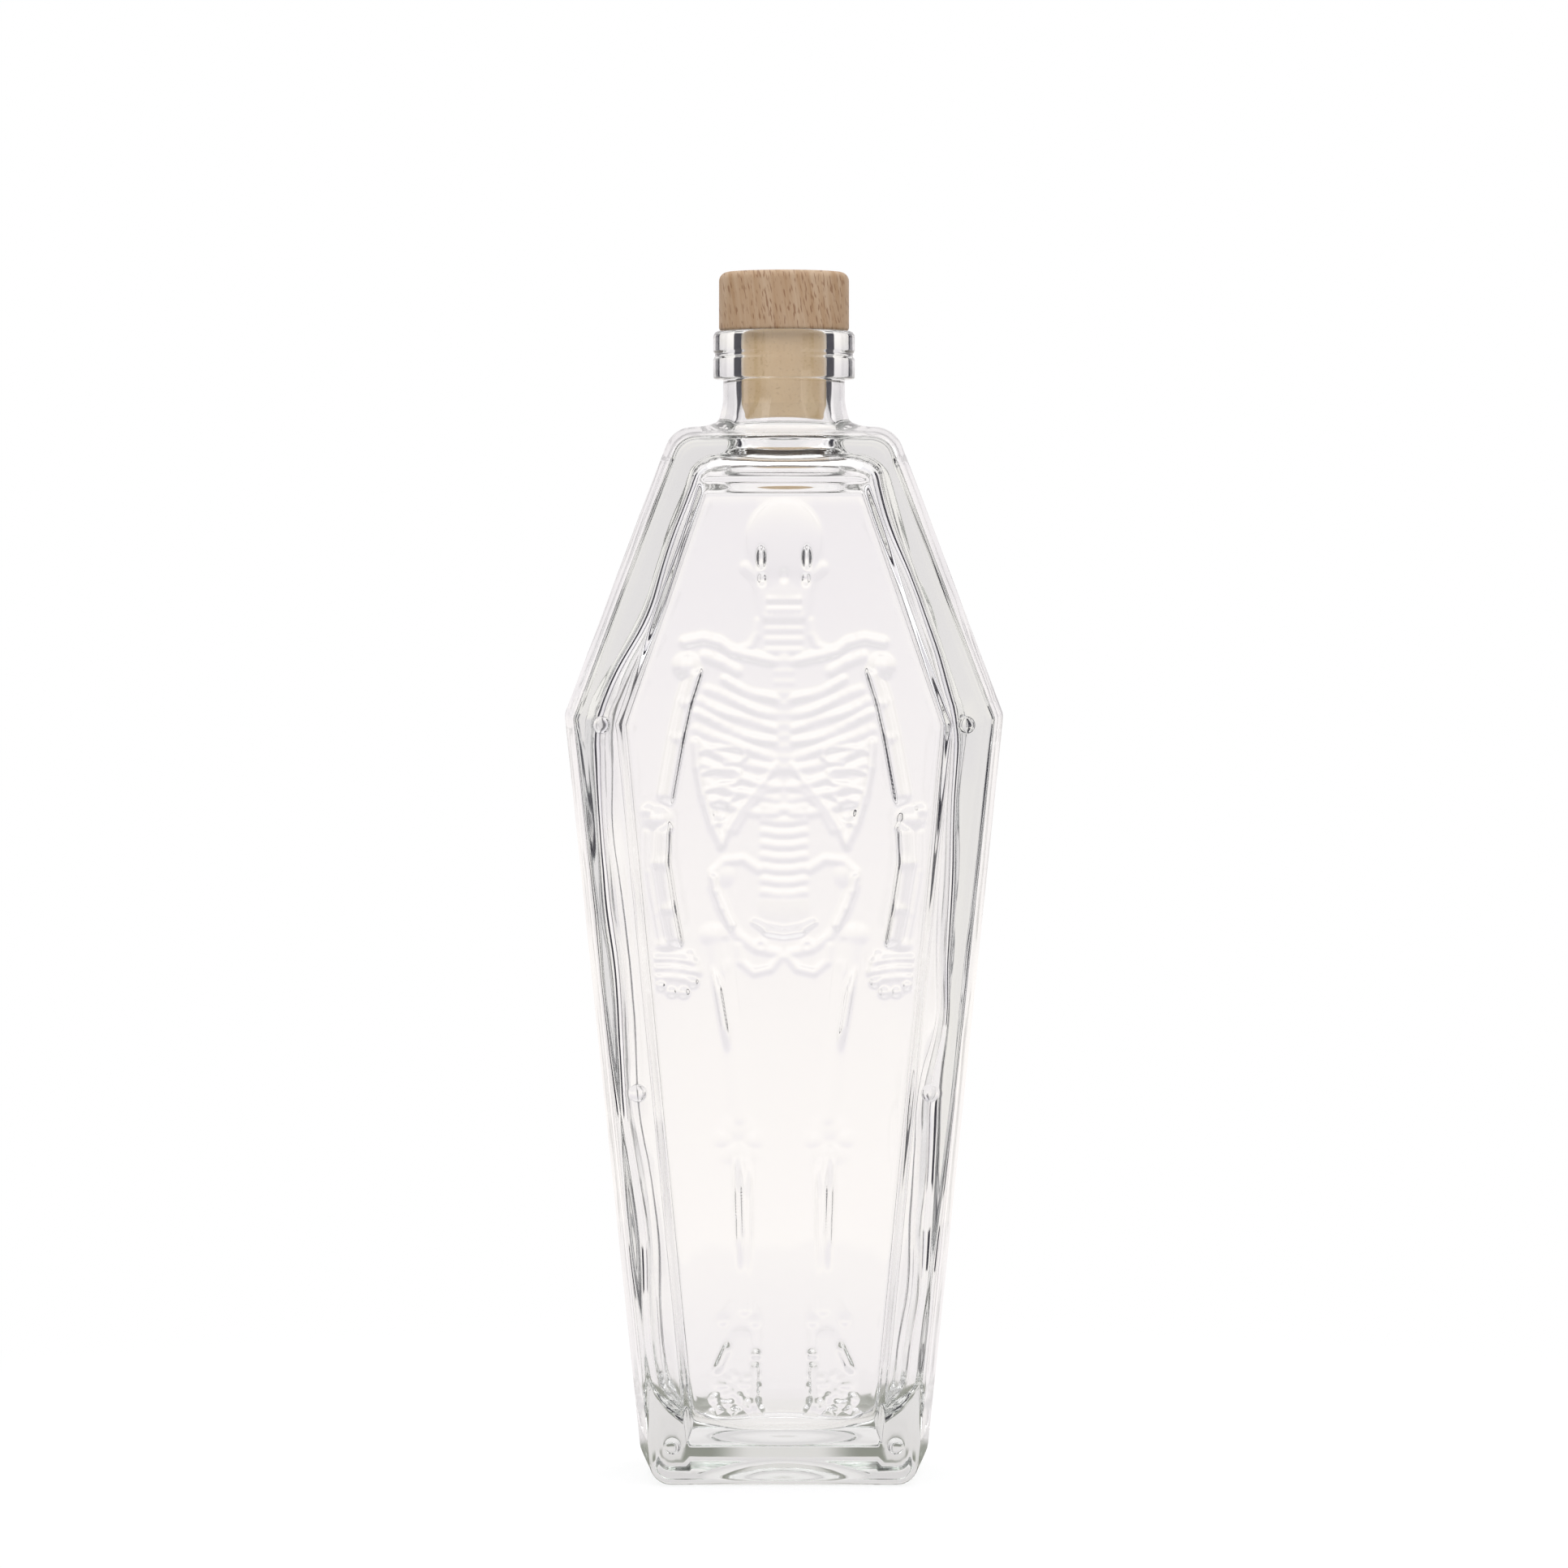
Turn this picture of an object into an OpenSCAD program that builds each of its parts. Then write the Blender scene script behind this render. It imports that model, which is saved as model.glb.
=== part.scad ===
// Coffin-shaped clear glass spirits bottle with a skeleton in relief, closed by a wooden-headed
// cork stopper. Millimetres, +Z up, skeleton side towards -Y, origin under the middle of the foot.

/* [Body] */
// Height of the shoulders above the foot
shoulder_h = 228.5; // [215:0.5:245]
// Height of the widest line
widest_h = 165.5; // [140:0.5:185]
// Width at the widest line, on the mould seam
body_w = 95.8; // [80:0.2:110]
// Width at the foot, on the mould seam
foot_w = 62; // [50:0.5:76]
// Width across the shoulders before their corners are rounded
shoulder_w = 48.4; // [42:0.2:60]
// Depth from face to face
body_d = 50; // [44:0.5:60]
// How far the front and rear faces are drawn in from the seam
face_draft = 2.5; // [1:0.1:4]
// Radius of the two lower corners on the seam
foot_corner_r = 8; // [4:0.5:12]
// Radius of the two shoulder corners
shoulder_corner_r = 6; // [3:0.5:9]
// Radius of the two side corners
side_corner_r = 3; // [1:0.5:6]
// Rounding of the edge between a face and the sides
edge_r = 1.6; // [0.6:0.2:3]

/* [Glass] */
// Thickness of the side and rear walls
wall = 4; // [3:0.1:5]
// Thickness of the wall behind the sunk panel
panel_wall = 3.6; // [3:0.1:5]
// Thickness of the glass over the foot
foot_glass = 12; // [9:0.5:16]
// Thickness of the glass under the shoulders
shoulder_glass = 5.5; // [4:0.5:8]
// Rounding inside the blown cavity
cavity_r = 9; // [6:0.5:12]
// Radius of the round hollow under the foot
push_up_r = 19; // [12:0.5:20]
// Height of the hollow under the foot
push_up_h = 3.2; // [1:0.2:5]

/* [Panel] */
// Depth of the sunk panel below the front face
panel_sunk = 3; // [2:0.1:4]
// Width of the frame beside the panel, at the widest line
frame_w = 9.5; // [7:0.1:12]
// Width of the frame beside the panel's top
frame_top_w = 8; // [6:0.1:11]
// Width of the frame beside the panel's foot
frame_foot_w = 8.6; // [6:0.1:11]
// Height of the frame above the panel
frame_top = 10.5; // [8:0.2:14]
// Height of the frame under the panel
frame_foot = 9; // [7:0.2:13]
// Width of the sloping wall at the panel's sides
bevel_side = 1.7; // [1:0.1:3]
// Height of the sloping wall at the panel's top
bevel_top = 2.2; // [1:0.1:4]
// Height of the sloping wall at the panel's foot
bevel_foot = 4; // [2:0.1:5]
// Radius of a coffin nail's domed head
nail_r = 1.8; // [1:0.1:2.4]
// How far a nail head stands out of the frame
nail_rise = 0.9; // [0.4:0.1:1.4]

/* [Skeleton] */
// Height of the shoulder joints of the figure above the foot
figure_shoulder_z = 176.4; // [172:0.2:180]
// How far the long bones stand out of the panel
bone_rise = 1.7; // [1:0.1:2.4]
// Radius of the upper arm bones
humerus_r = 1.8; // [1.2:0.1:2.4]
// Radius of the thigh bones
femur_r = 2; // [1.4:0.1:2.6]
// Number of full pairs of ribs
rib_pairs = 8; // [6:1:9]
// Distance from one rib to the next
rib_step = 3.1; // [2.8:0.1:3.4]
// Radius of a rib
rib_r = 1; // [0.7:0.1:1.2]

/* [Neck] */
// Height of the neck between the shoulders and the collar
neck_h = 10; // [8:0.5:20]
// Diameter of the neck
neck_d = 26.1; // [25:0.1:29]
// Rounding where the neck rises from the shoulders
neck_root_r = 2.5; // [1.5:0.5:4]
// Diameter of the collar round the mouth
collar_d = 30.8; // [29:0.1:34]
// Height of the collar
collar_h = 10.5; // [8:0.5:14]
// Height of the groove's middle below the mouth
groove_drop = 5.3; // [4:0.1:6.5]
// Depth of the groove round the collar
groove_deep = 0.5; // [0.2:0.1:0.8]
// Rounding of the collar's top and bottom edges
collar_edge_r = 0.9; // [0.4:0.1:1.5]
// Diameter of the bore
bore_d = 18.6; // [17.5:0.1:19.5]
// Straight length of the bore
bore_l = 14; // [11:0.5:18]

/* [Stopper] */
// Diameter of the wooden head
head_d = 28.3; // [26:0.1:32]
// Height of the wooden head
head_h = 12.8; // [10:0.2:18]
// Rounding of the head's top edge
head_edge_r = 1.4; // [0.6:0.1:2.5]
// Rounding of the head's lower edge
head_foot_r = 0.4; // [0.2:0.1:0.8]
// Length of the shank below the head
shank_l = 19.2; // [16:0.2:22]
// Depth of the socket in the head that holds the shank
socket_deep = 4; // [2:0.5:6]
// Height of the taper at the shank's end
taper_h = 3.2; // [1:0.2:5]
// Reduction of the shank's radius over the taper
taper_in = 1.6; // [0.5:0.1:2.5]
// Gap all round between the shank and the bore
shank_gap = 0.05; // [0.02:0.01:0.1]

/* [Hidden] */
$fn = 64;
cut = 0.5;
slice_t = 0.02;
root_deep = 1;
joint_r = 0.2;
bottle_h = shoulder_h + neck_h + collar_h;
shank_r = bore_d / 2 - shank_gap;
half_d = body_d / 2;
floor_y = half_d - panel_sunk;
cavity_front = floor_y - panel_wall;
cavity_back = half_d - wall;
cavity_foot = foot_glass;
cavity_top = shoulder_h - shoulder_glass;

// Outline helpers. A corner list holds [x, z, radius], anticlockwise seen from the front.
function unit(v) = v / norm(v);
function corner_arc(a, b, c, r, steps) =
    let (
        p = [b[0], b[1]],
        u = unit([a[0], a[1]] - p),
        v = unit([c[0], c[1]] - p),
        half = acos(u * v) / 2,
        centre = p + unit(u + v) * r / sin(half),
        from = p + u * r / tan(half) - centre,
        to = p + v * r / tan(half) - centre,
        start = atan2(from[1], from[0]),
        turn = atan2(to[1], to[0]) - start,
        sweep = turn > 180 ? turn - 360 : turn < -180 ? turn + 360 : turn
    )
    [for (i = [0 : steps]) centre + r * [cos(start + sweep * i / steps), sin(start + sweep * i / steps)]];
function rounded(corners, steps = 6) =
    let (n = len(corners))
    [
        for (i = [0 : n - 1])
            each corner_arc(corners[(i + n - 1) % n], corners[i], corners[(i + 1) % n], corners[i][2], steps)
    ];

// The six-sided coffin outline, drawn in by side, top and foot distances measured square to the edges
function upper_lean() = atan2((body_w - shoulder_w) / 2, shoulder_h - widest_h);
function lower_lean() = atan2((body_w - foot_w) / 2, widest_h);
function upper_x(z, inset) = body_w / 2 - (z - widest_h) * tan(upper_lean()) - inset / cos(upper_lean());
function lower_x(z, inset) = body_w / 2 - (widest_h - z) * tan(lower_lean()) - inset / cos(lower_lean());
function side_z(inset) =
    widest_h + inset * (1 / cos(lower_lean()) - 1 / cos(upper_lean())) / (tan(upper_lean()) + tan(lower_lean()));
// side is the inset of the long edges, or a list of its values at the foot, the widest line and the top.
function coffin(side, top, foot, r_foot, r_side, r_top) =
    let (
        in = is_list(side) ? side : [side, side, side],
        z_top = shoulder_h - top,
        z_side = side_z(in[1]),
        x_foot = lower_x(foot, in[0]),
        x_side = lower_x(z_side, in[1]),
        x_top = upper_x(z_top, in[2])
    )
    rounded([
        [x_foot, foot, r_foot], [x_side, z_side, r_side], [x_top, z_top, r_top],
        [-x_top, z_top, r_top], [-x_side, z_side, r_side], [-x_foot, foot, r_foot]
    ]);
function less(r, inset) = max(r - inset, 0.8);

// A thin slice of an outline, standing across the depth at y
module slice(points, y) {
    translate([0, y > 0 ? y : y + slice_t, 0])
        rotate([90, 0, 0])
            linear_extrude(height = slice_t)
                polygon(points);
}

// The sides and shoulders draw in towards the faces, and the foot stays flat up to its rounded edges
module body_slice(draft, round_in, y) {
    inset = draft + round_in;
    points = coffin(inset, inset, round_in, less(foot_corner_r, inset),
        less(side_corner_r, inset / 2), less(shoulder_corner_r, inset / 2));
    slice(points, y);
}

module body_form() {
    hull() {
        body_slice(0, 0, 0);
        for (side = [-1, 1])
            for (angle = [0 : 30 : 90])
                body_slice(
                    face_draft,
                    edge_r * (1 - cos(angle)),
                    side * (half_d - edge_r * (1 - sin(angle)))
                );
    }
}

module panel_slice(grow, y) {
    side = face_draft + (1 - grow) * bevel_side;
    points = coffin(
        [side + frame_foot_w, side + frame_w, side + frame_top_w],
        face_draft + frame_top + (1 - grow) * bevel_top,
        frame_foot + (1 - grow) * bevel_foot,
        0.8, 1.5, 1.2
    );
    slice(points, y);
}

// The sunk panel is cut a little past the face, along the same slope
module panel_cut() {
    past = cut / panel_sunk;
    hull() {
        panel_slice(0, -floor_y);
        panel_slice(1 + past, -half_d - cut);
    }
}

// The blown cavity: flat behind the panel and at the back, with wide rounded corners
module cavity_slice(inset, y) {
    points = coffin(
        wall + inset, shoulder_glass + inset, cavity_foot + inset,
        less(cavity_r, inset), less(cavity_r, inset), less(cavity_r, inset)
    );
    slice(points, y);
}

module cavity() {
    hull() {
        for (angle = [0 : 18 : 90]) {
            cavity_slice(cavity_r * (1 - cos(angle)), -cavity_front + cavity_r * (1 - sin(angle)));
            cavity_slice(cavity_r * (1 - cos(angle)), cavity_back - cavity_r * (1 - sin(angle)));
        }
    }
}

// Nail heads stand along the frame, close to the panel's outer edge
nail_heights = [frame_foot - 0.5, widest_h / 2 + 1.8, widest_h - 1.8];
function frame_at(z) = frame_foot_w + (frame_w - frame_foot_w) * z / widest_h;
module nails() {
    for (side = [-1, 1])
        for (z = nail_heights)
            dome([side * (lower_x(z, face_draft + frame_at(z)) + nail_r + 0.6), z], nail_r, nail_rise, half_d);
}

// Relief helpers. A place is [x, z] on the panel, and rise is how far the form stands out of it.
// A dome is a ball sunk until its rim has radius r
module dome(place, r, rise, level = floor_y) {
    ball = (r * r + rise * rise) / (2 * rise);
    translate([place[0], -level + ball - rise, place[1]])
        sphere(r = ball);
}

module bead(place, r, rise) {
    translate([place[0], -floor_y + r - rise, place[1]])
        sphere(r = r);
}

module shaft(from, to, r, rise) {
    run = to - from;
    translate([from[0], -floor_y + r - rise, from[1]])
        rotate([0, atan2(run[0], run[1]), 0])
            cylinder(r = r, h = norm(run));
}

// A bone that bends: shafts from place to place, with a slightly thicker bead at every place
module bent(places, r, rise) {
    for (i = [1 : len(places) - 1])
        shaft(places[i - 1], places[i], r, rise);
    for (place = places)
        bead(place, r + joint_r, rise + joint_r);
}

// Part of a ring lying on the panel, from one angle to another, measured from +X towards +Z
module arc(centre, ring_r, r, rise, start, end) {
    translate([centre[0], -floor_y + r - rise, centre[1]])
        rotate([90, 0, 0])
            rotate([0, 0, start])
                rotate_extrude(angle = end - start)
                    translate([ring_r, 0])
                        circle(r = r);
}

module both_sides() {
    children();
    mirror([1, 0, 0])
        children();
}

skull_z = figure_shoulder_z + 27.8;
module skull() {
    difference() {
        union() {
            dome([0, skull_z], 8.1, 2.7);
            dome([0, skull_z - 8], 6.4, 2);
            shaft([-3.6, skull_z - 13.6], [3.6, skull_z - 13.6], 1.9, 1.5);
            shaft([-3, skull_z - 17.2], [3, skull_z - 17.2], 1.8, 1.5);
            both_sides()
                shaft([8, skull_z - 6.4], [4.8, skull_z - 9.6], 1.2, 1.1);
            both_sides()
                shaft([5.4, skull_z - 8], [4, skull_z - 17.2], 1.3, 1.1);
        }
        both_sides()
            bead([3.6, skull_z - 4.6], 2.3, 3.3);
        bead([0, skull_z - 8.8], 1.1, 2.9);
    }
}

neck_vertebrae = 3;
module figure_neck() {
    for (i = [0 : neck_vertebrae - 1])
        shaft([-3.2, figure_shoulder_z + 7.4 - 2.5 * i], [3.2, figure_shoulder_z + 7.4 - 2.5 * i], 1.3, 1);
}

hand_z = figure_shoulder_z - 66;
elbow = [27.4, figure_shoulder_z - 33.2];
module arm() {
    shoulder = [20.4, figure_shoulder_z];
    wrist = [24.9, figure_shoulder_z - 59.4];
    shaft(shoulder, elbow, humerus_r, bone_rise);
    bead(shoulder, 3.1, 2.2);
    bead(elbow, 2.7, 2);
    shaft(elbow + [1.6, -1], wrist + [1.2, 0], 0.95, 1.3);
    shaft(elbow + [-1.2, -1], wrist + [-1.5, 0], 1.05, 1.4);
    dome(wrist + [-0.4, -0.8], 2.6, 1.2);
    for (i = [0 : 3])
        shaft([20.4 + 2.2 * i, hand_z + 4.2], [21 + 1.9 * i, hand_z - 4.2 + abs(i - 1.5) * 0.6], 1.3, 1.5);
}

module shoulder_girdle() {
    top = figure_shoulder_z;
    bent([[20.6, top + 4.8], [13.8, top + 5.2], [9, top + 3.6], [3.4, top + 2.6]], 1.15, 1.2);
    bent([[17, top + 2.4], [11.6, top - 0.4]], 1.4, 1);
}

// The ribs sag from the flank to the breastbone, each an arc of the same ring
rib_ring_r = 27;
rib_top_z = figure_shoulder_z - 5.4;
module ribs() {
    for (i = [0 : rib_pairs - 1]) {
        half = asin((i == 0 ? 12.4 : i == 1 ? 16.6 : 18.4) / rib_ring_r);
        arc([0, rib_top_z - rib_step * i + rib_ring_r - 4], rib_ring_r, rib_r, 1.1, -90 - half, -90 + half);
    }
}

breast_z = figure_shoulder_z - 22.6;
module rib_cage() {
    ribs();
    shaft([0, figure_shoulder_z + 2.6], [0, breast_z], 2.2, 1.6);
    both_sides() {
        bent([[1.4, breast_z + 0.6], [8.2, breast_z - 6.6], [13.8, breast_z - 14.4]], 1, 1.2);
        bent([[18.4, breast_z + 1], [17.4, breast_z - 5.6], [14.6, breast_z - 13.4]], 0.9, 1);
        bent([[17.2, breast_z - 1.8], [9.6, breast_z - 5.2]], 0.9, 1.05);
        bent([[16.2, breast_z - 6], [11.6, breast_z - 9.4]], 0.9, 1.05);
    }
}

lumbar_count = 6;
lumbar_step = 3;
module lumbar_spine() {
    for (i = [0 : lumbar_count - 1])
        shaft([-3.6, breast_z - 10.4 - lumbar_step * i], [3.6, breast_z - 10.4 - lumbar_step * i], 1.25, 1.1);
}

hip_z = figure_shoulder_z - 57.6;
module pelvis() {
    both_sides() {
        arc([9, hip_z + 9.6], 6.2, 1.2, 1.3, 20, 150);
        shaft([14.9, hip_z + 11.6], [12.4, hip_z + 1.6], 1.2, 1.3);
        shaft([3.8, hip_z + 12.4], [6.6, hip_z - 0.6], 1.1, 1.1);
        arc([5.7, hip_z - 4.7], 2.5, 0.9, 1.2, 0, 360);
    }
    dome([0, hip_z + 6], 4, 1.4);
    arc([0, hip_z + 3.4], 4.6, 1, 1.2, 200, 340);
}

knee = [9.6, figure_shoulder_z - 102.2];
ankle_z = figure_shoulder_z - 140.8;
module leg() {
    bead([15.2, hip_z], 3.2, 2);
    shaft([15.2, hip_z], [13.4, hip_z - 9], 1.7, 1.4);
    shaft([13.4, hip_z - 9], knee, femur_r, bone_rise);
    bead(knee + [3.4, 0.6], 2.7, 1.9);
    bead(knee + [-2.8, 0.6], 2.7, 1.9);
    shaft(knee + [4.2, -3.6], knee + [-3.8, -3.6], 1.8, 1.5);
    shaft(knee + [-0.8, -3], [8.6, ankle_z], 1.9, 1.6);
    shaft(knee + [3.4, -4], [11.6, ankle_z], 0.9, 1.1);
    bead([12.6, ankle_z], 1.9, 1.5);
    bead([7.2, ankle_z], 2.1, 1.6);
    dome([9.6, ankle_z - 5], 4.4, 2);
    for (i = [0 : 4])
        shaft([8.2 + 0.8 * i, ankle_z - 6], [6.4 + 2.1 * i, ankle_z - 17.6 + i * 0.5], 1.15, 1.5);
}

// Only what stands out of the panel is kept, with a root inside the wall
module figure_layer() {
    translate([-body_w / 2, -half_d, 0])
        cube([body_w, panel_sunk + root_deep, shoulder_h]);
}

module skeleton() {
    intersection() {
        union() {
            skull();
            figure_neck();
            rib_cage();
            lumbar_spine();
            pelvis();
            both_sides() {
                arm();
                shoulder_girdle();
                leg();
            }
        }
        figure_layer();
    }
}

// Neck and collar as one turned profile, from a low skirt on the shoulders to the mouth
skirt_w = half_d - edge_r - neck_d / 2;
neck_profile = rounded([
    [1, shoulder_h - shoulder_glass, 0.1],
    [neck_d / 2 + skirt_w, shoulder_h - shoulder_glass, 0.1],
    [neck_d / 2 + skirt_w, shoulder_h - face_draft, 0.1],
    [neck_d / 2 + neck_root_r, shoulder_h + 0.3, 1],
    [neck_d / 2, shoulder_h + 0.3, neck_root_r - 0.5],
    [neck_d / 2, bottle_h - collar_h, 0.4],
    [collar_d / 2, bottle_h - collar_h, collar_edge_r],
    [collar_d / 2, bottle_h - groove_drop - 0.5, 0.2],
    [collar_d / 2 - groove_deep, bottle_h - groove_drop, 0.3],
    [collar_d / 2, bottle_h - groove_drop + 0.5, 0.2],
    [collar_d / 2, bottle_h, collar_edge_r],
    [1, bottle_h, 0.1]
], 4);

// The bore is straight where the stopper sits and then opens like a trumpet into the cavity
trumpet_d = 27;
trumpet_mid_d = 22;
bore_foot = bottle_h - bore_l;
module bore() {
    trumpet_h = (bore_foot - cavity_top) / 2;
    translate([0, 0, bore_foot])
        cylinder(d = bore_d, h = bore_l + cut);
    translate([0, 0, bore_foot - trumpet_h])
        cylinder(d1 = trumpet_mid_d, d2 = bore_d, h = trumpet_h);
    translate([0, 0, cavity_top - cut])
        cylinder(d1 = trumpet_d, d2 = trumpet_mid_d, h = trumpet_h + cut);
}

module push_up() {
    ball = (push_up_r * push_up_r + push_up_h * push_up_h) / (2 * push_up_h);
    translate([0, 0, push_up_h - ball])
        sphere(r = ball);
}

module bottle() {
    color([0.86, 0.9, 0.88, 0.4])
        difference() {
            union() {
                difference() {
                    body_form();
                    panel_cut();
                }
                skeleton();
                nails();
                rotate_extrude()
                    polygon(neck_profile);
            }
            cavity();
            bore();
            push_up();
        }
}

head_profile = rounded([
    [0, bottle_h, 0.01],
    [head_d / 2, bottle_h, head_foot_r],
    [head_d / 2, bottle_h + head_h, head_edge_r],
    [0, bottle_h + head_h, 0.01]
]);
module stopper_head() {
    color([0.86, 0.71, 0.55])
        difference() {
            rotate_extrude()
                polygon(head_profile);
            translate([0, 0, bottle_h - cut])
                cylinder(r = shank_r, h = socket_deep + cut);
        }
}

module stopper_shank() {
    shank_foot = bottle_h - shank_l;
    color([0.8, 0.7, 0.58]) {
        translate([0, 0, shank_foot + taper_h])
            cylinder(r = shank_r, h = shank_l - taper_h + socket_deep);
        translate([0, 0, shank_foot])
            cylinder(r1 = shank_r - taper_in, r2 = shank_r, h = taper_h);
    }
}

bottle();
stopper_head();
stopper_shank();
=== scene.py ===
# Coffin-shaped flint glass bottle with a skeleton in relief, a turned beech stopper head and a cork shank.
# Sizes are in millimetres in the frame of the CAD part, and a mesh is scaled to metres as it is made.
import math

import bmesh
import bpy
import numpy as np
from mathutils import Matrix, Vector, geometry, noise


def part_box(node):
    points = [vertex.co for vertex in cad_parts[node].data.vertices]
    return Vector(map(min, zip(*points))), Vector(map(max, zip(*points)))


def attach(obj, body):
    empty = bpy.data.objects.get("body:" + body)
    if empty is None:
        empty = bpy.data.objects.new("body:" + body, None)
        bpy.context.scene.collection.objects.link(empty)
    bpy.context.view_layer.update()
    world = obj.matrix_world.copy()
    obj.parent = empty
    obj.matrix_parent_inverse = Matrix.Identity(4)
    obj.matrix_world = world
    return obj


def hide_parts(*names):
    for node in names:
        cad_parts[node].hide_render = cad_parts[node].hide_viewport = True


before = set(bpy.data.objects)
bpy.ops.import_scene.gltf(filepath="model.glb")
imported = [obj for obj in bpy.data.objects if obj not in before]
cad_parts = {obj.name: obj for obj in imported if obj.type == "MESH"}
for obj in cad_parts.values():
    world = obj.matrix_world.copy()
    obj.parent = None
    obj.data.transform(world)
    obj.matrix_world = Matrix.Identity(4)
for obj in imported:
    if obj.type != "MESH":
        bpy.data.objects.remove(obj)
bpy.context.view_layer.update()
mm = 0.001
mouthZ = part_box("bottle")[1].z / mm
print("frame loaded, mouth at", round(mouthZ, 1), "mm")

# The glass body, with the same driving sizes as the CAD source
body = {
    "shoulderHeight": 228.5,
    "widestHeight": 165.5,
    "halfWidest": 47.9,
    "halfFoot": 31.0,
    "halfShoulder": 24.2,
    "halfDepth": 25.0,
    "draft": 2.5,
    "edgeRadius": 1.6,
    "footRadius": 7.0,
    "sideRadius": 3.0,
    "shoulderRadius": 6.4,
    "crown": 0.3,  # how far the roof of the shoulders falls from the neck to its corners
    "crownSpan": (12.0, 22.0),  # from the middle, where it falls
    "crownBlend": (14.5, 4.5),  # below the roof, where the sides take it up
    "leastRadius": 0.8,
    "seamSoftness": 0.8,  # how far to each side the seam's ridge is rounded over
    "pushUpRadius": 19.0,
    "pushUpHeight": 3.2,
}

panel = {
    "sunk": 3.0,
    "frameFoot": 8.6,
    "frameWidest": 9.5,
    "frameTop": 8.0,
    "above": 10.5,
    "below": 9.0,
    "bevelSide": 1.7,
    "bevelTop": 2.2,
    "bevelFoot": 4.0,
    "radii": (0.8, 1.5, 1.2),  # of its corners at the foot, the widest line and the top
    "softness": 0.34,  # share of the bevel's width that each rounded edge takes
    "fineCell": 0.38,  # mesh spacing on the figure
    "plainCell": 2.2,
    "fineSlope": 0.02,  # the least slope that counts as figure
    "fineReach": 0.5,
}

nails = {
    "radius": 1.7,
    "rise": 0.9,
    "outside": 1.7,
    "heights": (8.5, 84.6, 163.7),
    "dome": ((1.18, 0), (1.06, 0.05), (0.99, 0.2), (0.92, 0.4), (0.8, 0.62), (0.62, 0.81), (0.36, 0.95)),
    "steps": 28,
}

neck = {
    "skirtRadius": 18.6,
    "radius": 13.2,
    "waist": 13.25,
    "waistZ": 235.0,
    "skirtTop": 230.0,
    "flare": 0.036,  # per mm, how fast the neck widens below its waist
    "collarRadius": 15.4,
    "collarHeight": 10.5,
    "grooveDrop": 5.3,
    "grooveDepth": 0.35,
    "grooveHalf": 0.9,
    "lipRadius": 1.3,
    "boreRadius": 9.3,
    "boreFoot": 236.8,
    "throatTurn": 1.7,  # height over which the bore turns into the roof of the cavity
    "throatShare": 0.5,  # how much of its widening the bore has done by then
}

cavity = {
    "front": -18.4,
    "back": 21.0,
    "top": 222.0,
    "shoulderRadius": 4.2,  # at the sides; at the faces the shoulders round in over a longer fall
    "shoulderDepth": 4.0,
    "shoulderFall": 5.5,
    "cornerRadius": 4.8,
    "cornerChange": 0.3,  # how unevenly that radius runs, as a share of it
    "lean": (0.3, 1.5),  # how far the side walls draw in towards the corners, low down and high up
    "leanTurns": (110, 180),  # heights between which it changes
    "widestBlend": 3.0,  # how far the widest line is rounded over
    "drift": 0.8,  # how unevenly the side walls stand, over the height of the bottle
    "driftLength": 26.0,
    "bulge": 1.3,  # how far the inside follows the frame, where the panel isn't sunk
    "bulgeHalf": 2.0,
    "floor": 8.6,
    "footRadiusX": 14.0,
    "footCorner": 9.0,  # how much rounder the cavity's corners get towards its floor
    "footRadiusY": 7.0,
    "wave": 0.9,  # depth of the soft waves in the side walls
    "waveElsewhere": 0.3,
    "waveWidth": 14,
    "waveLength": 19,
    "streak": 0.13,  # depth of the long streaks that blowing left
    "streakWidth": 5.5,
    "streakLength": 45.0,
    "facing": (0.6, 0.98),  # from the middle to the front wall, where the bulge sets in
    "wallReach": (1, 6),  # from the sides, over which the side walls' waves die away
    "streakReach": (1, 5),
    "frameReach": 4,  # how far outside the panel the frame's waves set in
    "leastWave": 0.15,
    "leastStreak": 0.3,
}

# thickness of each side wall at its heights: blowing left the glass uneven
sideWalls = {
    "right": ((30, 3.4), (110, 6.0), (165, 7.2), (192, 6.0), (222, 5.2)),
    "left": ((30, 3.5), (110, 3.8), (160, 4.0), (192, 6.9), (222, 6.6)),
}


# Outlines: a corner is (x, z, radius), anticlockwise seen from the front
def cornerArc(before, corner, after, radius, steps):
    point = np.array(corner[:2], float)
    back = np.array(before[:2], float) - point
    ahead = np.array(after[:2], float) - point
    back /= np.linalg.norm(back)
    ahead /= np.linalg.norm(ahead)
    half = math.acos(float(np.clip(back @ ahead, -1, 1))) / 2
    bisector = (back + ahead) / np.linalg.norm(back + ahead)
    centre = point + bisector * radius / math.sin(half)
    start = point + back * radius / math.tan(half) - centre
    end = point + ahead * radius / math.tan(half) - centre
    first = math.atan2(start[1], start[0])
    sweep = (math.atan2(end[1], end[0]) - first + math.pi) % (2 * math.pi) - math.pi
    angles = first + sweep * np.linspace(0, 1, steps + 1)
    return centre + radius * np.stack([np.cos(angles), np.sin(angles)], 1)


def alongEdge(start, end, pieces, margin=0.6):
    # points inside a straight edge, one close to each end, so that the flat stays flat
    share = min(margin / np.linalg.norm(end - start), 0.2)
    places = np.concatenate([[share], np.linspace(0, 1, pieces + 1)[1:-1], [1 - share]])
    return start + (end - start) * places[:, None]


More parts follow.
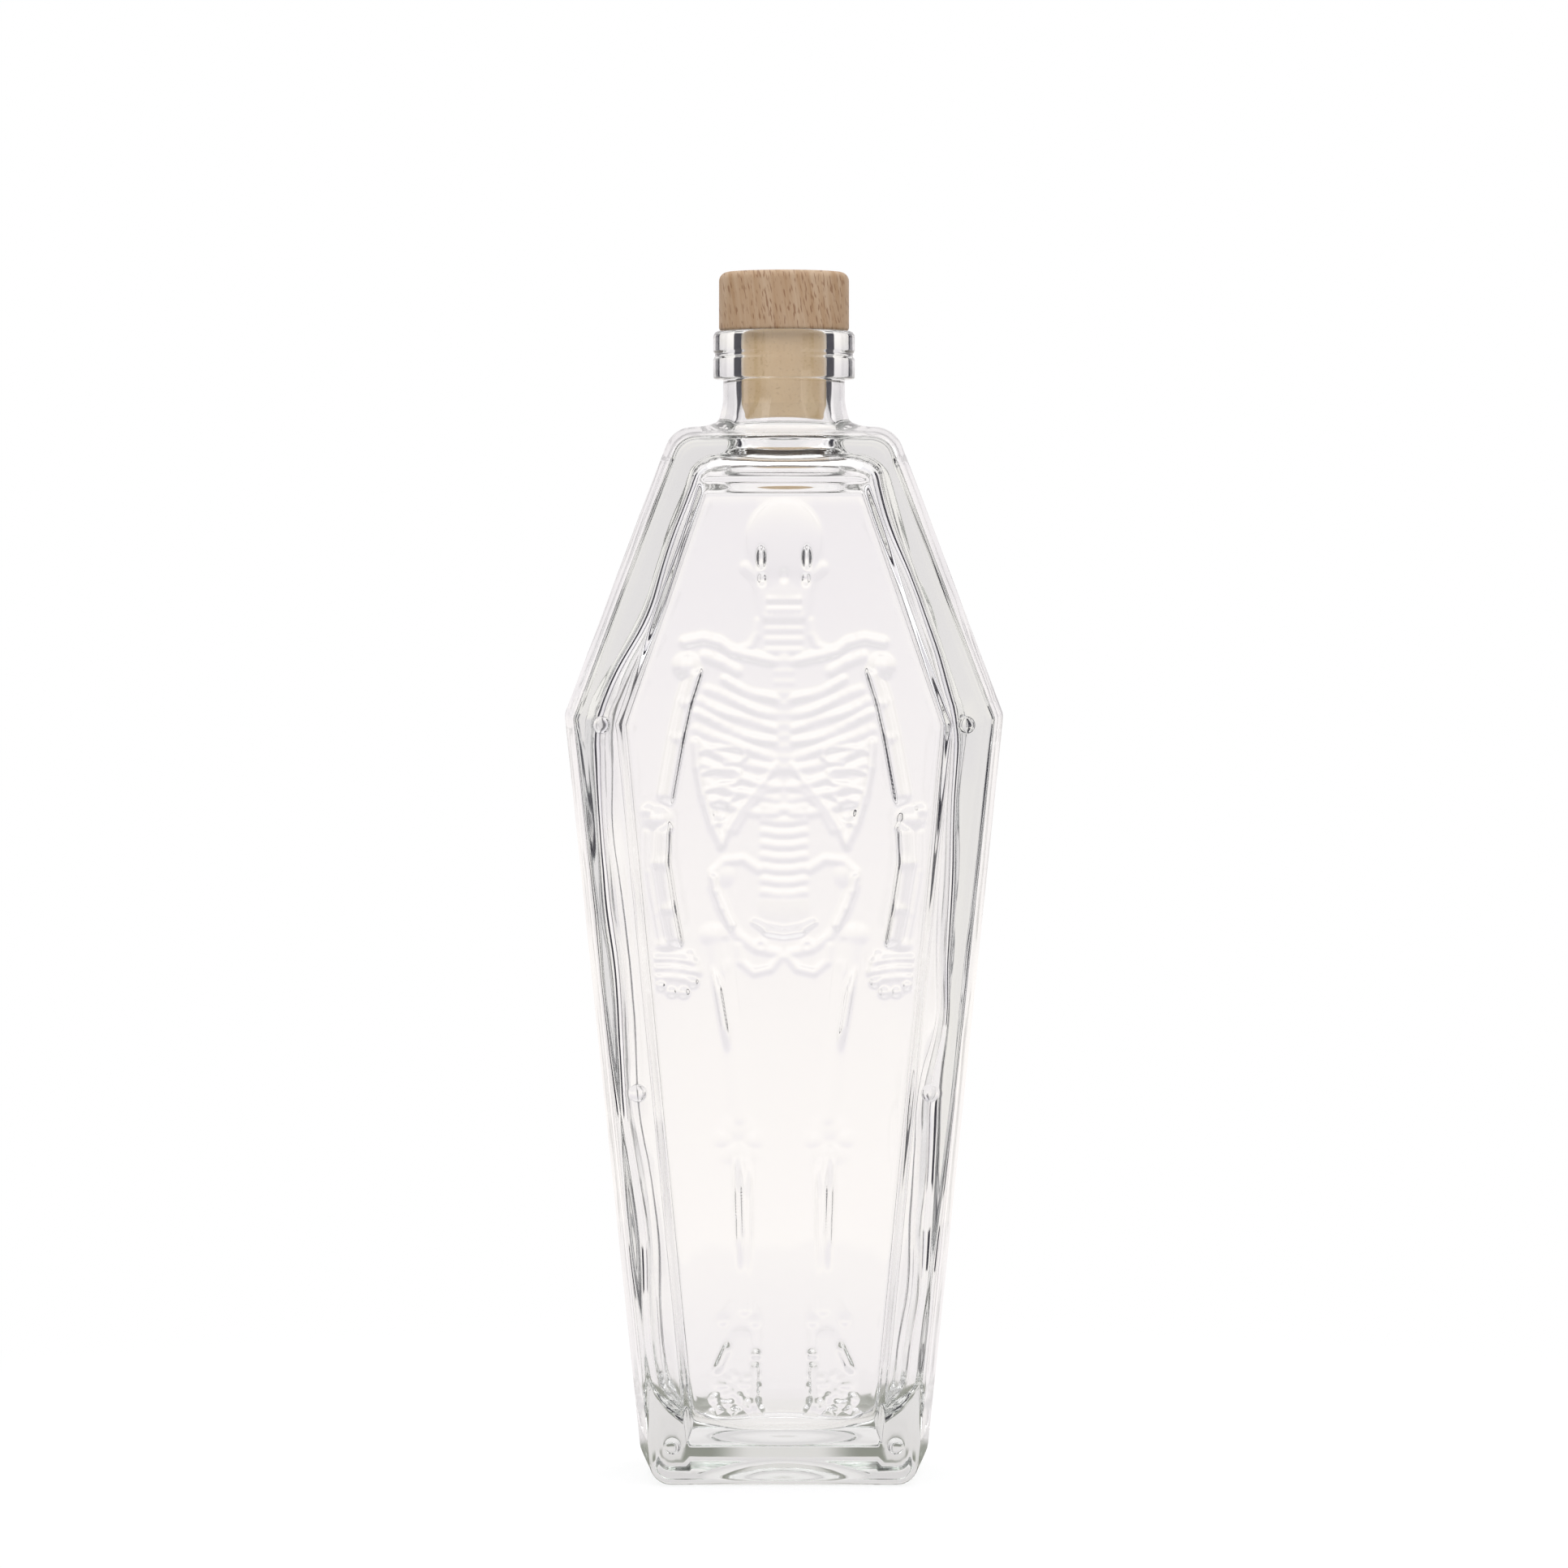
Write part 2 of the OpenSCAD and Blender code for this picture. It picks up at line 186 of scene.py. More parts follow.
def roundedOutline(corners):
    count = len(corners)
    arcs = [
        cornerArc(corners[i - 1], corners[i], corners[(i + 1) % count], corners[i][2], arcSteps)
        for i in range(count)
    ]
    parts = []
    for i in range(count):
        parts += [arcs[i], alongEdge(arcs[i][-1], arcs[(i + 1) % count][0], edgePieces)]
    return np.concatenate(parts)


arcSteps, edgePieces = 8, 10
cornerCount = arcSteps + edgePieces + 2  # points from one corner's start to the next
topEdge = range(2 * cornerCount + arcSteps, 3 * cornerCount)
footEdge = range(5 * cornerCount + arcSteps, 6 * cornerCount)

upperRise = body["shoulderHeight"] - body["widestHeight"]
upperLean = math.atan2(body["halfWidest"] - body["halfShoulder"], upperRise)
lowerLean = math.atan2(body["halfWidest"] - body["halfFoot"], body["widestHeight"])


def upperX(z, inset):
    return body["halfWidest"] - (z - body["widestHeight"]) * math.tan(upperLean) - inset / math.cos(upperLean)


def lowerX(z, inset):
    return body["halfWidest"] - (body["widestHeight"] - z) * math.tan(lowerLean) - inset / math.cos(lowerLean)


def coffinOutline(side, top, foot, radii):
    # side holds the insets of the long edges at the foot, the widest line and the top
    spread = math.tan(upperLean) + math.tan(lowerLean)
    lift = side[1] * (1 / math.cos(lowerLean) - 1 / math.cos(upperLean)) / spread
    widestZ = body["widestHeight"] + lift
    topZ = body["shoulderHeight"] - top
    right = [
        (lowerX(foot, side[0]), foot, radii[0]),
        (lowerX(widestZ, side[1]), widestZ, radii[1]),
        (upperX(topZ, side[2]), topZ, radii[2]),
    ]
    return roundedOutline(right + [(-x, z, r) for x, z, r in reversed(right)])


def standing(outline, y):
    # an outline in x and z, stood up at depth y
    return np.column_stack([outline[:, 0], np.full(len(outline), y), outline[:, 1]])


def smoothStep(value, low, high):
    share = np.clip((value - low) / (high - low), 0, 1)
    return share * share * (3 - 2 * share)


def crownDrop(x):
    return body["crown"] * smoothStep(np.abs(x), *body["crownSpan"])


def bodyRing(draft, roundIn, y):
    inset = draft + roundIn
    shrunk = (body["footRadius"] - inset, body["sideRadius"] - inset / 2, body["shoulderRadius"] - inset / 2)
    radii = [max(radius, body["leastRadius"]) for radius in shrunk]
    ring = standing(coffinOutline((inset, inset, inset), inset, roundIn, radii), y)
    near = smoothStep(ring[:, 2], *(body["shoulderHeight"] - below for below in body["crownBlend"]))
    ring[:, 2] -= near * crownDrop(ring[:, 0])
    return ring


def panelOutline(grow):
    # grow is 0 at the panel's floor and 1 at the face
    side = body["draft"] + (1 - grow) * panel["bevelSide"]
    return coffinOutline(
        (side + panel["frameFoot"], side + panel["frameWidest"], side + panel["frameTop"]),
        body["draft"] + panel["above"] + (1 - grow) * panel["bevelTop"],
        panel["below"] + (1 - grow) * panel["bevelFoot"],
        panel["radii"],
    )


def panelHalf(z, share=0.5):
    # half the panel's width at a height, a share of the way down its sloping wall
    down = body["draft"] + share * panel["bevelSide"]
    rise = z / body["widestHeight"]
    if rise < 1:
        return lowerX(z, down + panel["frameFoot"] + (panel["frameWidest"] - panel["frameFoot"]) * rise)
    rise = (z - body["widestHeight"]) / upperRise
    return upperX(z, down + panel["frameWidest"] + (panel["frameTop"] - panel["frameWidest"]) * rise)


def circle(radius, angles, centre=(0, 0)):
    return np.array(centre) + radius * np.stack([np.cos(angles), np.sin(angles)], 1)


def insideLoop(points, loop):
    inside = np.zeros(len(points), bool)
    x, z = points[:, 0], points[:, 1]
    for (x0, z0), (x1, z1) in zip(loop, np.roll(loop, -1, 0)):
        if z0 != z1:
            crosses = (z0 > z) != (z1 > z)
            inside ^= crosses & (x < (x1 - x0) * (z - z0) / (z1 - z0) + x0)
    return inside


def addThing(name, data, place=(0, 0, 0), target=None):
    thing = bpy.data.objects.new(name, data)
    thing.location = place
    if target:
        toward = Vector(target) - Vector(place)
        thing.rotation_euler = toward.to_track_quat("-Z", "Y").to_euler()
    bpy.context.scene.collection.objects.link(thing)
    return thing


def clean(mesh, name):
    work = bmesh.new()
    work.from_mesh(mesh)
    bmesh.ops.remove_doubles(work, verts=work.verts, dist=0.003 * mm)
    bmesh.ops.recalc_face_normals(work, faces=work.faces)
    bmesh.ops.triangulate(work, faces=[f for f in work.faces if len(f.verts) > 4])
    openEdges = sum(not edge.is_manifold for edge in work.edges)
    triangles = sum(len(f.verts) - 2 for f in work.faces)
    work.to_mesh(mesh)
    work.free()
    print(f"{name}: {triangles} triangles, {openEdges} open edges")


class Shell:
    # gathers points and faces; points that meet are merged when it is built
    def __init__(self):
        self.points, self.faces, self.count = [], [], 0

    def add(self, points, faces):
        self.points.append(np.asarray(points, float))
        self.faces += [tuple(int(i) + self.count for i in face) for face in faces]
        self.count += len(points)

    def strip(self, rings, skip=()):
        # quads between rings of the same number of points, none from a skipped point
        size = len(rings[0])
        self.add(
            np.concatenate(rings),
            [
                (r * size + i, r * size + (i + 1) % size, (r + 1) * size + (i + 1) % size, (r + 1) * size + i)
                for r in range(len(rings) - 1)
                for i in range(size)
                if i not in skip
            ],
        )

    def close(self, ring, tip):
        size = len(ring)
        self.add(np.concatenate([ring, [tip]]), [(i, (i + 1) % size, size) for i in range(size)])

    def patch(self, loop, holes, inner, lift):
        # a flat region between a loop and its holes, cut into triangles and lifted into place
        outlines, points = [], []
        for outline in [loop] + holes:
            outlines.append(list(range(len(points), len(points) + len(outline))))
            points += [Vector(p) for p in outline]
        edges = [(o[i - 1], o[i]) for o in outlines for i in range(len(o))]
        points += [Vector(p) for p in inner]
        made = geometry.delaunay_2d_cdt(points, edges, [], 1, 1e-7)
        flat, faces = np.array([tuple(v) for v in made[0]]), made[2]
        # the outlines part the triangles into regions, and a region in a hole is left out
        fence = {frozenset(edge) for edge, given in zip(made[1], made[4]) if given}
        beside = {}
        for number, face in enumerate(faces):
            for side in zip(face, face[1:] + face[:1]):
                if frozenset(side) not in fence:
                    beside.setdefault(frozenset(side), []).append(number)
        left = set(range(len(faces)))
        while left:
            region, rim = [], [left.pop()]
            while rim:
                number = rim.pop()
                region.append(number)
                face = faces[number]
                for side in zip(face, face[1:] + face[:1]):
                    for other in beside.get(frozenset(side), ()):
                        if other in left:
                            left.remove(other)
                            rim.append(other)
            corners = flat[[faces[number] for number in region]]
            spans = corners[:, 1:] - corners[:, :1]
            areas = np.abs(spans[:, 0, 0] * spans[:, 1, 1] - spans[:, 0, 1] * spans[:, 1, 0])
            middle = corners[np.argmax(areas)].mean(0)[None]
            if not any(insideLoop(middle, hole)[0] for hole in holes):
                self.add(lift(flat), [faces[number] for number in region])

    def build(self, name):
        mesh = bpy.data.meshes.new(name)
        mesh.from_pydata((np.concatenate(self.points) * mm).tolist(), [], self.faces)
        clean(mesh, name)
        mesh.shade_smooth()
        return addThing(name, mesh)


# The skeleton: heights above the panel on a fine grid, drawn for x >= 0 and mirrored
relief = {
    "cell": 0.2,
    "halfWidth": 37.0,
    "lowest": 11.0,
    "highest": 217.0,
    "margin": 0.3,
    "melt": 0.26,  # how far the glass rounded the mould's sharp lines
}
gridX = np.arange(-relief["halfWidth"], relief["halfWidth"] + 0.01, relief["cell"])
gridZ = np.arange(relief["lowest"], relief["highest"], relief["cell"])
heights = np.zeros((len(gridZ), len(gridX)))


def windowRound(points, reach):
    reach += relief["margin"]
    (x0, z0), (x1, z1) = np.min(points, 0) - reach, np.max(points, 0) + reach
    rows = slice(*np.searchsorted(gridZ, (z0, z1)))
    columns = slice(*np.searchsorted(gridX, (x0, x1)))
    return rows, columns, *np.meshgrid(gridX[columns], gridZ[rows])


def merge(rows, columns, form):
    # a soft union with what is there
    area = heights[rows, columns]
    heights[rows, columns] = (np.maximum(area, 0) ** 4 + form**4) ** 0.25 + np.minimum(area, 0)


def bone(start, end, radius, rise, endRadius=None, lean=0.0, fullness=1.2, far=1.6, fade=0.0):
    # a rounded bar; lean moves its ridge across it, so that one flank is steep and the far one soft,
    # and fade is the share of its length over which each end sinks away
    endRadius = radius if endRadius is None else endRadius
    rows, columns, x, z = windowRound((start, end), max(radius, endRadius))
    runX, runZ = end[0] - start[0], end[1] - start[1]
    length = max(math.hypot(runX, runZ), 1e-6)
    along = np.clip(((x - start[0]) * runX + (z - start[1]) * runZ) / length**2, 0, 1)
    offX, offZ = x - start[0] - along * runX, z - start[1] - along * runZ
    wide = radius + (endRadius - radius) * along
    across = (offX * runZ - offZ * runX) / length / wide
    beyond = np.maximum((offX**2 + offZ**2) / wide**2 - across**2, 0)
    steep = (across > lean) == (lean > 0) if lean else np.ones(across.shape, bool)
    across = np.where(across > lean, (across - lean) / (1 - lean), (across - lean) / (1 + lean))
    share = np.clip(1 - across**2 - beyond, 0, 1)
    if fade:
        rise = rise * smoothStep(along, 0, fade) * smoothStep(1 - along, 0, fade)
    merge(rows, columns, rise * share ** np.where(steep, fullness, far))


def boneChain(points, radius, rise, **shape):
    for start, end in zip(points, points[1:]):
        bone(start, end, radius, rise, **shape)


def ovalShare(centre, radiusX, radiusZ, turn):
    rows, columns, x, z = windowRound((centre, centre), max(radiusX, radiusZ))
    c, s = math.cos(math.radians(turn)), math.sin(math.radians(turn))
    dx, dz = x - centre[0], z - centre[1]
    distance = ((dx * c + dz * s) / radiusX) ** 2 + ((dz * c - dx * s) / radiusZ) ** 2
    return rows, columns, np.clip(1 - distance, 0, 1)


def lump(centre, radiusX, radiusZ, rise, turn=0.0, fullness=1.2):
    rows, columns, share = ovalShare(centre, radiusX, radiusZ, turn)
    merge(rows, columns, rise * share**fullness)


def hollow(centre, radiusX, radiusZ, depth, turn=0.0, fullness=0.8):
    rows, columns, share = ovalShare(centre, radiusX, radiusZ, turn)
    heights[rows, columns] -= depth * share**fullness


def drawSkull():
    lump((0, 203.4), 8.4, 9.0, 1.2, fullness=0.6)
    lump((0, 197.5), 8.2, 5.8, 0.6, fullness=0.8)
    lump((0, 191.0), 5.4, 6.6, 0.7)
    bone((-3.2, 186.9), (3.2, 186.9), 1.9, 0.6)
    bone((8.2, 197.4), (4.8, 194.6), 1.6, 0.4)  # cheekbone
    bone((5.6, 194.5), (4.4, 187.2), 1.5, 0.4)  # branch of the jaw
    for tooth in range(3):
        for row, z in enumerate((190.6, 188.4)):
            lump((0.64 + 1.25 * tooth, z), 0.8, 1.2, 0.9 - 0.1 * row)
    hollow((4.9, 199.6), 1.0, 2.8, 3.0, fullness=0.8)  # eye socket
    hollow((4.7, 195.0), 0.9, 1.5, 1.8, fullness=0.8)
    hollow((0, 195.8), 1.1, 1.7, 0.6)  # nose
    hollow((0, 189.5), 4.2, 0.5, 0.4)


def drawSpine():
    for level in range(4):
        bone((-3.2, 184.2 - 2.3 * level), (3.2, 184.2 - 2.3 * level), 1.25, 0.38)
    for level in range(8):
        z = 145.4 - 2.6 * level
        boneChain([(x, z + 0.03 * x * x) for x in (-4.2, -1.5, 1.5, 4.2)], 1.25, 0.36)


def drawShoulder():
    collarBone = ((21.2, 181.4), (17.4, 182.2), (14.0, 181.4), (11.0, 179.4), (7.8, 178.6), (3.2, 177.6))
    boneChain(collarBone, 1.5, 0.7)
    boneChain(((5.4, 186.0), (5.8, 183.0), (7.2, 180.6), (10.0, 179.6)), 1.1, 0.35)
    boneChain(((17.0, 178.4), (13.6, 177.2), (10.2, 175.2)), 1.5, 0.5)


def drawRibs():
    # each rib falls from the flank and flattens towards the breastbone
    reaches = (12.6, 16.4, 17.9, 18.6, 18.9, 18.8, 18.4, 17.9, 17.2)
    falls = (4.4, 5.6, 6.2, 6.4, 6.4, 6.0, 5.2, 4.2, 3.2)
    for pair, (reach, fall) in enumerate(zip(reaches, falls)):
        places = np.linspace(0.1, 1, 9)
        z = 168.8 - 3.05 * pair
        line = [(reach * p, z + fall * p**1.5 + 0.3 * math.sin(7 * p + 2.6 * pair)) for p in places]
        for p, start, end in zip(places, line, line[1:]):
            # no two ribs are quite alike
            bone(start, end, 1.2, 0.42 + 0.16 * math.sin(9 * p + 4.1 * pair), fullness=1.0)
    bone((0, 178.0), (0, 154.5), 1.9, 0.5)
    for node in range(11):
        lump((0, 177.4 - 2.3 * node), 2.4, 1.2, 0.5)


def drawLowerRibs():
    boneChain(((1.6, 155.2), (4.2, 151.6), (8.6, 146.4), (12.0, 141.2), (13.6, 137.6)), 1.05, 0.6)
    boneChain(((1.0, 150.4), (4.6, 149.4), (8.2, 145.4), (10.6, 141.0)), 1.0, 0.4)
    flank = ((19.2, 160.0), (18.8, 154.5), (17.6, 148.5), (15.6, 142.0), (13.6, 138.0))
    boneChain(flank, 1.1, 0.8, lean=0.3, fullness=0.7)
    for z, hook in ((157.2, 8.4), (152.6, 9.4), (148.6, 10.8)):
        # floating ribs, hooked at their inner ends
        tip = ((hook + 1.6, z + 1.5), (hook + 0.2, z + 0.9), (hook, z - 0.6), (hook + 1.4, z - 1.6))
        boneChain(((17.6, z + 0.8), (14.6, z + 1.6), *tip, (hook + 4.4, z - 1.8)), 0.75, 0.6, fullness=0.9)
    hollow((13.5, 145.4), 1.7, 2.3, 0.9, fullness=0.5)
    lump((14.6, 142.6), 1.2, 1.2, 0.7)


def drawArm():
    steepInside = {"lean": 0.6, "fullness": 0.45}
    lump((20.8, 176.2), 3.4, 3.2, 1.5)
    boneChain(((19.8, 174.6), (21.7, 168.5), (23.4, 161.0), (25.6, 148.6)), 2.0, 1.9, **steepInside)
    lump((27.2, 143.4), 3.3, 2.9, 1.5)
    lump((29.2, 145.2), 1.6, 1.6, 1.2)
    lump((25.0, 141.6), 1.1, 1.1, 1.1, fullness=0.7)
    boneChain(((26.6, 140.6), (26.9, 134.0), (25.4, 124.0), (24.2, 117.6)), 2.2, 2.3, **steepInside)
    boneChain(((29.2, 140.6), (29.2, 132.0), (27.5, 123.0), (26.4, 117.4)), 0.9, 0.5)
    lump((25.0, 116.4), 2.8, 1.9, 0.9)
    lump((23.5, 110.6), 4.9, 5.6, 0.8)
    for finger in range(3):
        z = 114.2 - 2.0 * finger
        line = [(19.2 + 2.7 * i, z - 1.6 + 0.75 * i - 0.16 * i * i) for i in range(4)]
        boneChain(line, 0.95, 0.85, fullness=0.9)
    for x, z, size in ((26.5, 107.7, 1.25), (24.1, 106.3, 1.3), (21.6, 106.2, 1.35), (19.6, 108.3, 1.25)):
        lump((x, z), size, size, 1.2, fullness=0.8)
    bone((20.2, 114.2), (18.7, 110.4), 1.1, 0.8)  # thumb


def drawPelvis():
    crest = ((5.4, 132.6), (8.8, 134.8), (12.6, 134.4), (15.4, 132.0), (15.4, 129.0), (13.9, 124.6))
    boneChain((*crest, (12.2, 120.8)), 1.2, 0.38)
    lump((13.4, 131.4), 3.0, 3.0, 0.45)
    flank = ((14.8, 131.0), (14.2, 128.0), (12.8, 124.4), (11.0, 120.6))
    boneChain(flank, 1.1, 1.2, lean=-0.7, fullness=0.45)
    boneChain(((11.8, 120.8), (9.4, 118.0), (6.0, 115.6), (1.4, 114.6)), 1.3, 0.35)
    boneChain(((0.8, 113.8), (3.0, 111.2), (6.4, 110.4), (9.2, 112.6), (9.6, 116.2)), 1.1, 0.38)
    lump((5.0, 116.2), 1.7, 1.7, 0.7)
    hollow((5.0, 116.2), 0.9, 0.9, 0.6)
    lump((0, 124.0), 5.4, 5.2, 0.35, fullness=0.8)
    bone((0, 119.2), (3.0, 119.7), 1.4, 1.8, lean=0.5, fullness=0.45)  # lower rim of the sacrum
    bone((3.0, 119.7), (6.4, 121.4), 1.4, 1.0, endRadius=0.6, lean=0.5, fullness=0.45)


def drawLeg():
    lump((15.0, 118.6), 3.6, 2.7, 0.5)
    bone((14.8, 118.0), (13.6, 111.0), 2.4, 0.4)
    bone((15.0, 113.5), (11.3, 91.5), 1.1, 1.8, lean=-0.5, fullness=0.45, fade=0.35)
    bone((13.0, 112.0), (9.6, 79.0), 2.2, 0.35)
    lump((9.8, 77.0), 4.6, 3.1, 0.2)
    lump((13.1, 74.6), 2.4, 2.4, 0.25)
    lump((6.6, 74.4), 2.4, 2.4, 0.25)
    lump((9.8, 71.2), 5.2, 2.6, 0.2)
    bone((9.8, 72.5), (8.85, 44.0), 1.1, 1.8, lean=-0.5, fullness=0.45, fade=0.35)
    bone((8.0, 72.0), (8.1, 42.0), 1.1, 1.0, lean=0.5, fullness=0.45, fade=0.4)
    bone((8.6, 69.6), (8.4, 38.0), 1.9, 0.3)
    lump((13.1, 35.4), 1.4, 1.5, 0.35)
    lump((6.2, 35.2), 1.4, 1.5, 0.35)
    lump((6.1, 28.0), 1.15, 1.15, 1.3, fullness=0.7)
    bone((9.2, 31.4), (10.6, 22.6), 2.6, 0.5, endRadius=5.2, fullness=0.6)
    bone((6.7, 27.0), (6.8, 15.4), 1.2, 1.3, lean=0.6, fullness=0.45, fade=0.15)
    bone((11.0, 31.2), (14.6, 23.0), 1.3, 1.5, lean=-0.6, fullness=0.45, fade=0.3)
    for row in range(5):
        for toe in range(6):
            # crumpled toes
            sway, roll = math.sin(2.3 * toe + 4.4 * row), math.cos(4.1 * toe - 2.7 * row)
            spread = 6.2 + (1.4 + 0.13 * row) * toe
            place = (spread + 0.4 * sway - 0.1 * row, 23.4 - 1.8 * row - 0.1 * toe + 0.5 * roll)
            size = (1.15 + 0.3 * roll, 0.95 - 0.2 * sway, 0.65 + 0.15 * sway)
            lump(place, *size, turn=45 * roll, fullness=0.6)


for draw in (drawSkull, drawSpine, drawShoulder, drawRibs, drawLowerRibs, drawArm, drawPelvis, drawLeg):
    draw()
middleColumn = len(gridX) // 2
heights[:, :middleColumn] = heights[:, : -middleColumn - 1 : -1]
reach = int(3 * relief["melt"] / relief["cell"]) + 1
bell = np.exp(-0.5 * (np.arange(-reach, reach + 1) * relief["cell"] / relief["melt"]) ** 2)
for axis in (0, 1):
    heights = np.apply_along_axis(np.convolve, axis, heights, bell / bell.sum(), "same")
flatEdge = 1 + panel["softness"]  # where the panel's flat floor begins, in bevel widths
floorFoot = panel["below"] + flatEdge * panel["bevelFoot"]
floorTop = body["shoulderHeight"] - body["draft"] - panel["above"] - flatEdge * panel["bevelTop"]
floorHalf = np.array([panelHalf(z, flatEdge) for z in gridZ])[:, None]
for inward in (gridZ[:, None] - floorFoot, floorTop - gridZ[:, None], floorHalf - np.abs(gridX)):
    heights *= smoothStep(inward, 0, 1)  # the figure sinks away at the border of the floor
print("skeleton drawn, up to", round(float(heights.max()), 2), "mm high")


def gridPlace(points):
    column = np.clip((points[:, 0] - gridX[0]) / relief["cell"], 0, len(gridX) - 1.001)
    row = np.clip((points[:, 1] - gridZ[0]) / relief["cell"], 0, len(gridZ) - 1.001)
    return row, column


def reliefAt(points):
    row, column = gridPlace(points)
    r, c = row.astype(int), column.astype(int)
    v, u = row - r, column - c
    low = heights[r, c] * (1 - u) + heights[r, c + 1] * u
    high = heights[r + 1, c] * (1 - u) + heights[r + 1, c + 1] * u
    return low * (1 - v) + high * v


def staggered(loop, cell):
    (x0, z0), (x1, z1) = loop.min(0), loop.max(0)
    rows = []
    for number, z in enumerate(np.arange(z0, z1, cell * math.sqrt(0.75))):
        x = np.arange(x0 + (number % 2) * cell / 2, x1, cell)
        rows.append(np.column_stack([x, np.full(len(x), z)]))
    return np.concatenate(rows)


def floorPoints(loop):
    # close together on the figure, wide apart on the plain glass
    busy = np.hypot(*np.gradient(heights, relief["cell"])) > panel["fineSlope"]
    spread = int(panel["fineReach"] / relief["cell"])
    for axis in (0, 1):
        busy = sum(np.roll(busy, shift, axis) for shift in range(-spread, spread + 1)) > 0
    chosen = []
    for cell, wanted in ((panel["fineCell"], True), (panel["plainCell"], False)):
        points = staggered(loop, cell)
        row, column = gridPlace(points)
        chosen.append(points[busy[row.astype(int), column.astype(int)] == wanted])
    points = np.concatenate(chosen)
    shrink = 0.99  # none too close to the loop's own points
    return points[insideLoop(points, loop.mean(0) + (loop - loop.mean(0)) * shrink)]


glass = Shell()
half, edge, draft = body["halfDepth"], body["edgeRadius"], body["draft"]
draftDepth = half - edge


def draftShare(y):
    # how much of the draft is taken at depth y, rounded over at the seam
    y, soft = np.abs(y), body["seamSoftness"]
    return np.where(y < soft, (y * y + soft * soft) / (2 * soft), y) / draftDepth


def faceRings(side):
    # round the edge from the drafted side onto a face
    return [
        bodyRing(draft, edge * (1 - math.cos(a)), side * (half - edge * (1 - math.sin(a))))
        for a in np.radians((0, 12, 26, 42, 58, 74, 90))
    ]


depths = np.array([0, 0.25, 0.5, 0.8, 3, 8, 14, 20, draftDepth - 0.5, draftDepth])
depths = np.concatenate([depths[::-1], -depths[1:]])
sideRings = [bodyRing(draft * float(draftShare(y)), 0, y) for y in depths]
glass.strip(sideRings, skip=set(topEdge) | set(footEdge))
glass.strip(faceRings(-1))
glass.strip(faceRings(1))
flatRim = edge + 0.5  # a narrow rim keeps the shading of the flats even
rearIn = bodyRing(draft, flatRim, half)
glass.strip([faceRings(1)[-1], rearIn])
glass.add(rearIn, [range(len(rearIn))])

# frame round the panel, and the panel's sloping wall with both its edges rounded
frontIn = bodyRing(draft, flatRim, -half)
glass.strip([faceRings(-1)[-1], frontIn])
soft = panel["softness"]


def slope(grow):
    # a straight slope with both its ends rounded over
    if grow < soft:
        return (grow + soft) ** 2 / (4 * soft)
    if grow > 1 - soft:
        return 1 - (1 + soft - grow) ** 2 / (4 * soft)
    return grow


ends = np.array([1, 0.5, 0, -0.5, -1]) * soft
grows = [*(1 + ends), 0.6, 0.4, *ends]
bevelRings = [standing(panelOutline(grow), panel["sunk"] * (1 - slope(grow)) - half) for grow in grows]
glass.strip(bevelRings)

# domed nail heads on the frame
nailAngles = np.arange(nails["steps"]) * 2 * math.pi / nails["steps"]
nailHoles = []
for z in nails["heights"]:
    frameHere = panel["frameFoot"] + (panel["frameWidest"] - panel["frameFoot"]) * z / body["widestHeight"]
    x = lowerX(z, draft + frameHere) + nails["radius"] + nails["outside"]
    for place in ((x, z), (-x, z)):
        rings = []
        for share, rise in nails["dome"]:
            flat = circle(nails["radius"] * share, nailAngles, place)
            rings.append(standing(flat, -half - nails["rise"] * rise))
        glass.strip(rings)
        glass.close(rings[-1], (place[0], -half - nails["rise"], place[1]))
        nailHoles.append(rings[0][:, (0, 2)])
frontHoles = [bevelRings[0][:, (0, 2)]] + nailHoles
glass.patch(frontIn[:, (0, 2)], frontHoles, [], lambda flat: standing(flat, -half))

# panel floor with the skeleton
floorLoop = bevelRings[-1][:, (0, 2)]


def liftFloor(flat):
    floor = standing(flat, panel["sunk"] - half)
    floor[:, 1] -= reliefAt(flat)
    return floor


glass.patch(floorLoop, [], floorPoints(floorLoop), liftFloor)
print("faces, panel and nail heads laid out")


def openLoop(edgeRange):
    # border of the gap that the side strip leaves along the shoulders or the foot
    indices = [i % len(sideRings[0]) for i in range(edgeRange[0], edgeRange[-1] + 2)]
    left = [ring[indices[-1]] for ring in sideRings[-2:0:-1]]
    right = [ring[indices[0]] for ring in sideRings[1:-1]]
    return np.concatenate([sideRings[-1][indices], left, sideRings[0][indices][::-1], right])[:, :2]


sideSteps, cornerSteps, frameSteps, panelSteps = 7, 14, 9, 8


def insideQuarter(halfWidth, deep, corner, lean, panelEdge):
    # from the middle of the side wall round the corner to the middle of the face
    tilt = math.atan2(2 * lean, deep - corner / 2)
    along = np.linspace(0, 1, sideSteps + 1)[:-1]
    side = np.column_stack([halfWidth - lean * along**2, (deep - corner * (1 - math.sin(tilt))) * along])
    centre = np.array([halfWidth - lean - corner * math.cos(tilt), deep - corner])
    angles = tilt + (math.pi / 2 - tilt) * np.linspace(0, 1, cornerSteps + 1)[:-1]
    edge = min(max(panelEdge, 0.3 * centre[0]), 0.85 * centre[0])  # more points beside it than within
    beside, within = np.linspace(centre[0], edge, frameSteps + 1), np.linspace(edge, 0, panelSteps + 1)
    x = np.concatenate([beside[:-1], within[:-1]])
    return np.concatenate([side, circle(corner, angles, centre), np.column_stack([x, np.full(len(x), deep)])])


def unevenly(seed, z, length):
    # a soft change along the height, from -1 to 1
    return 2 * noise.noise(Vector((seed, 0.3, z / length)))


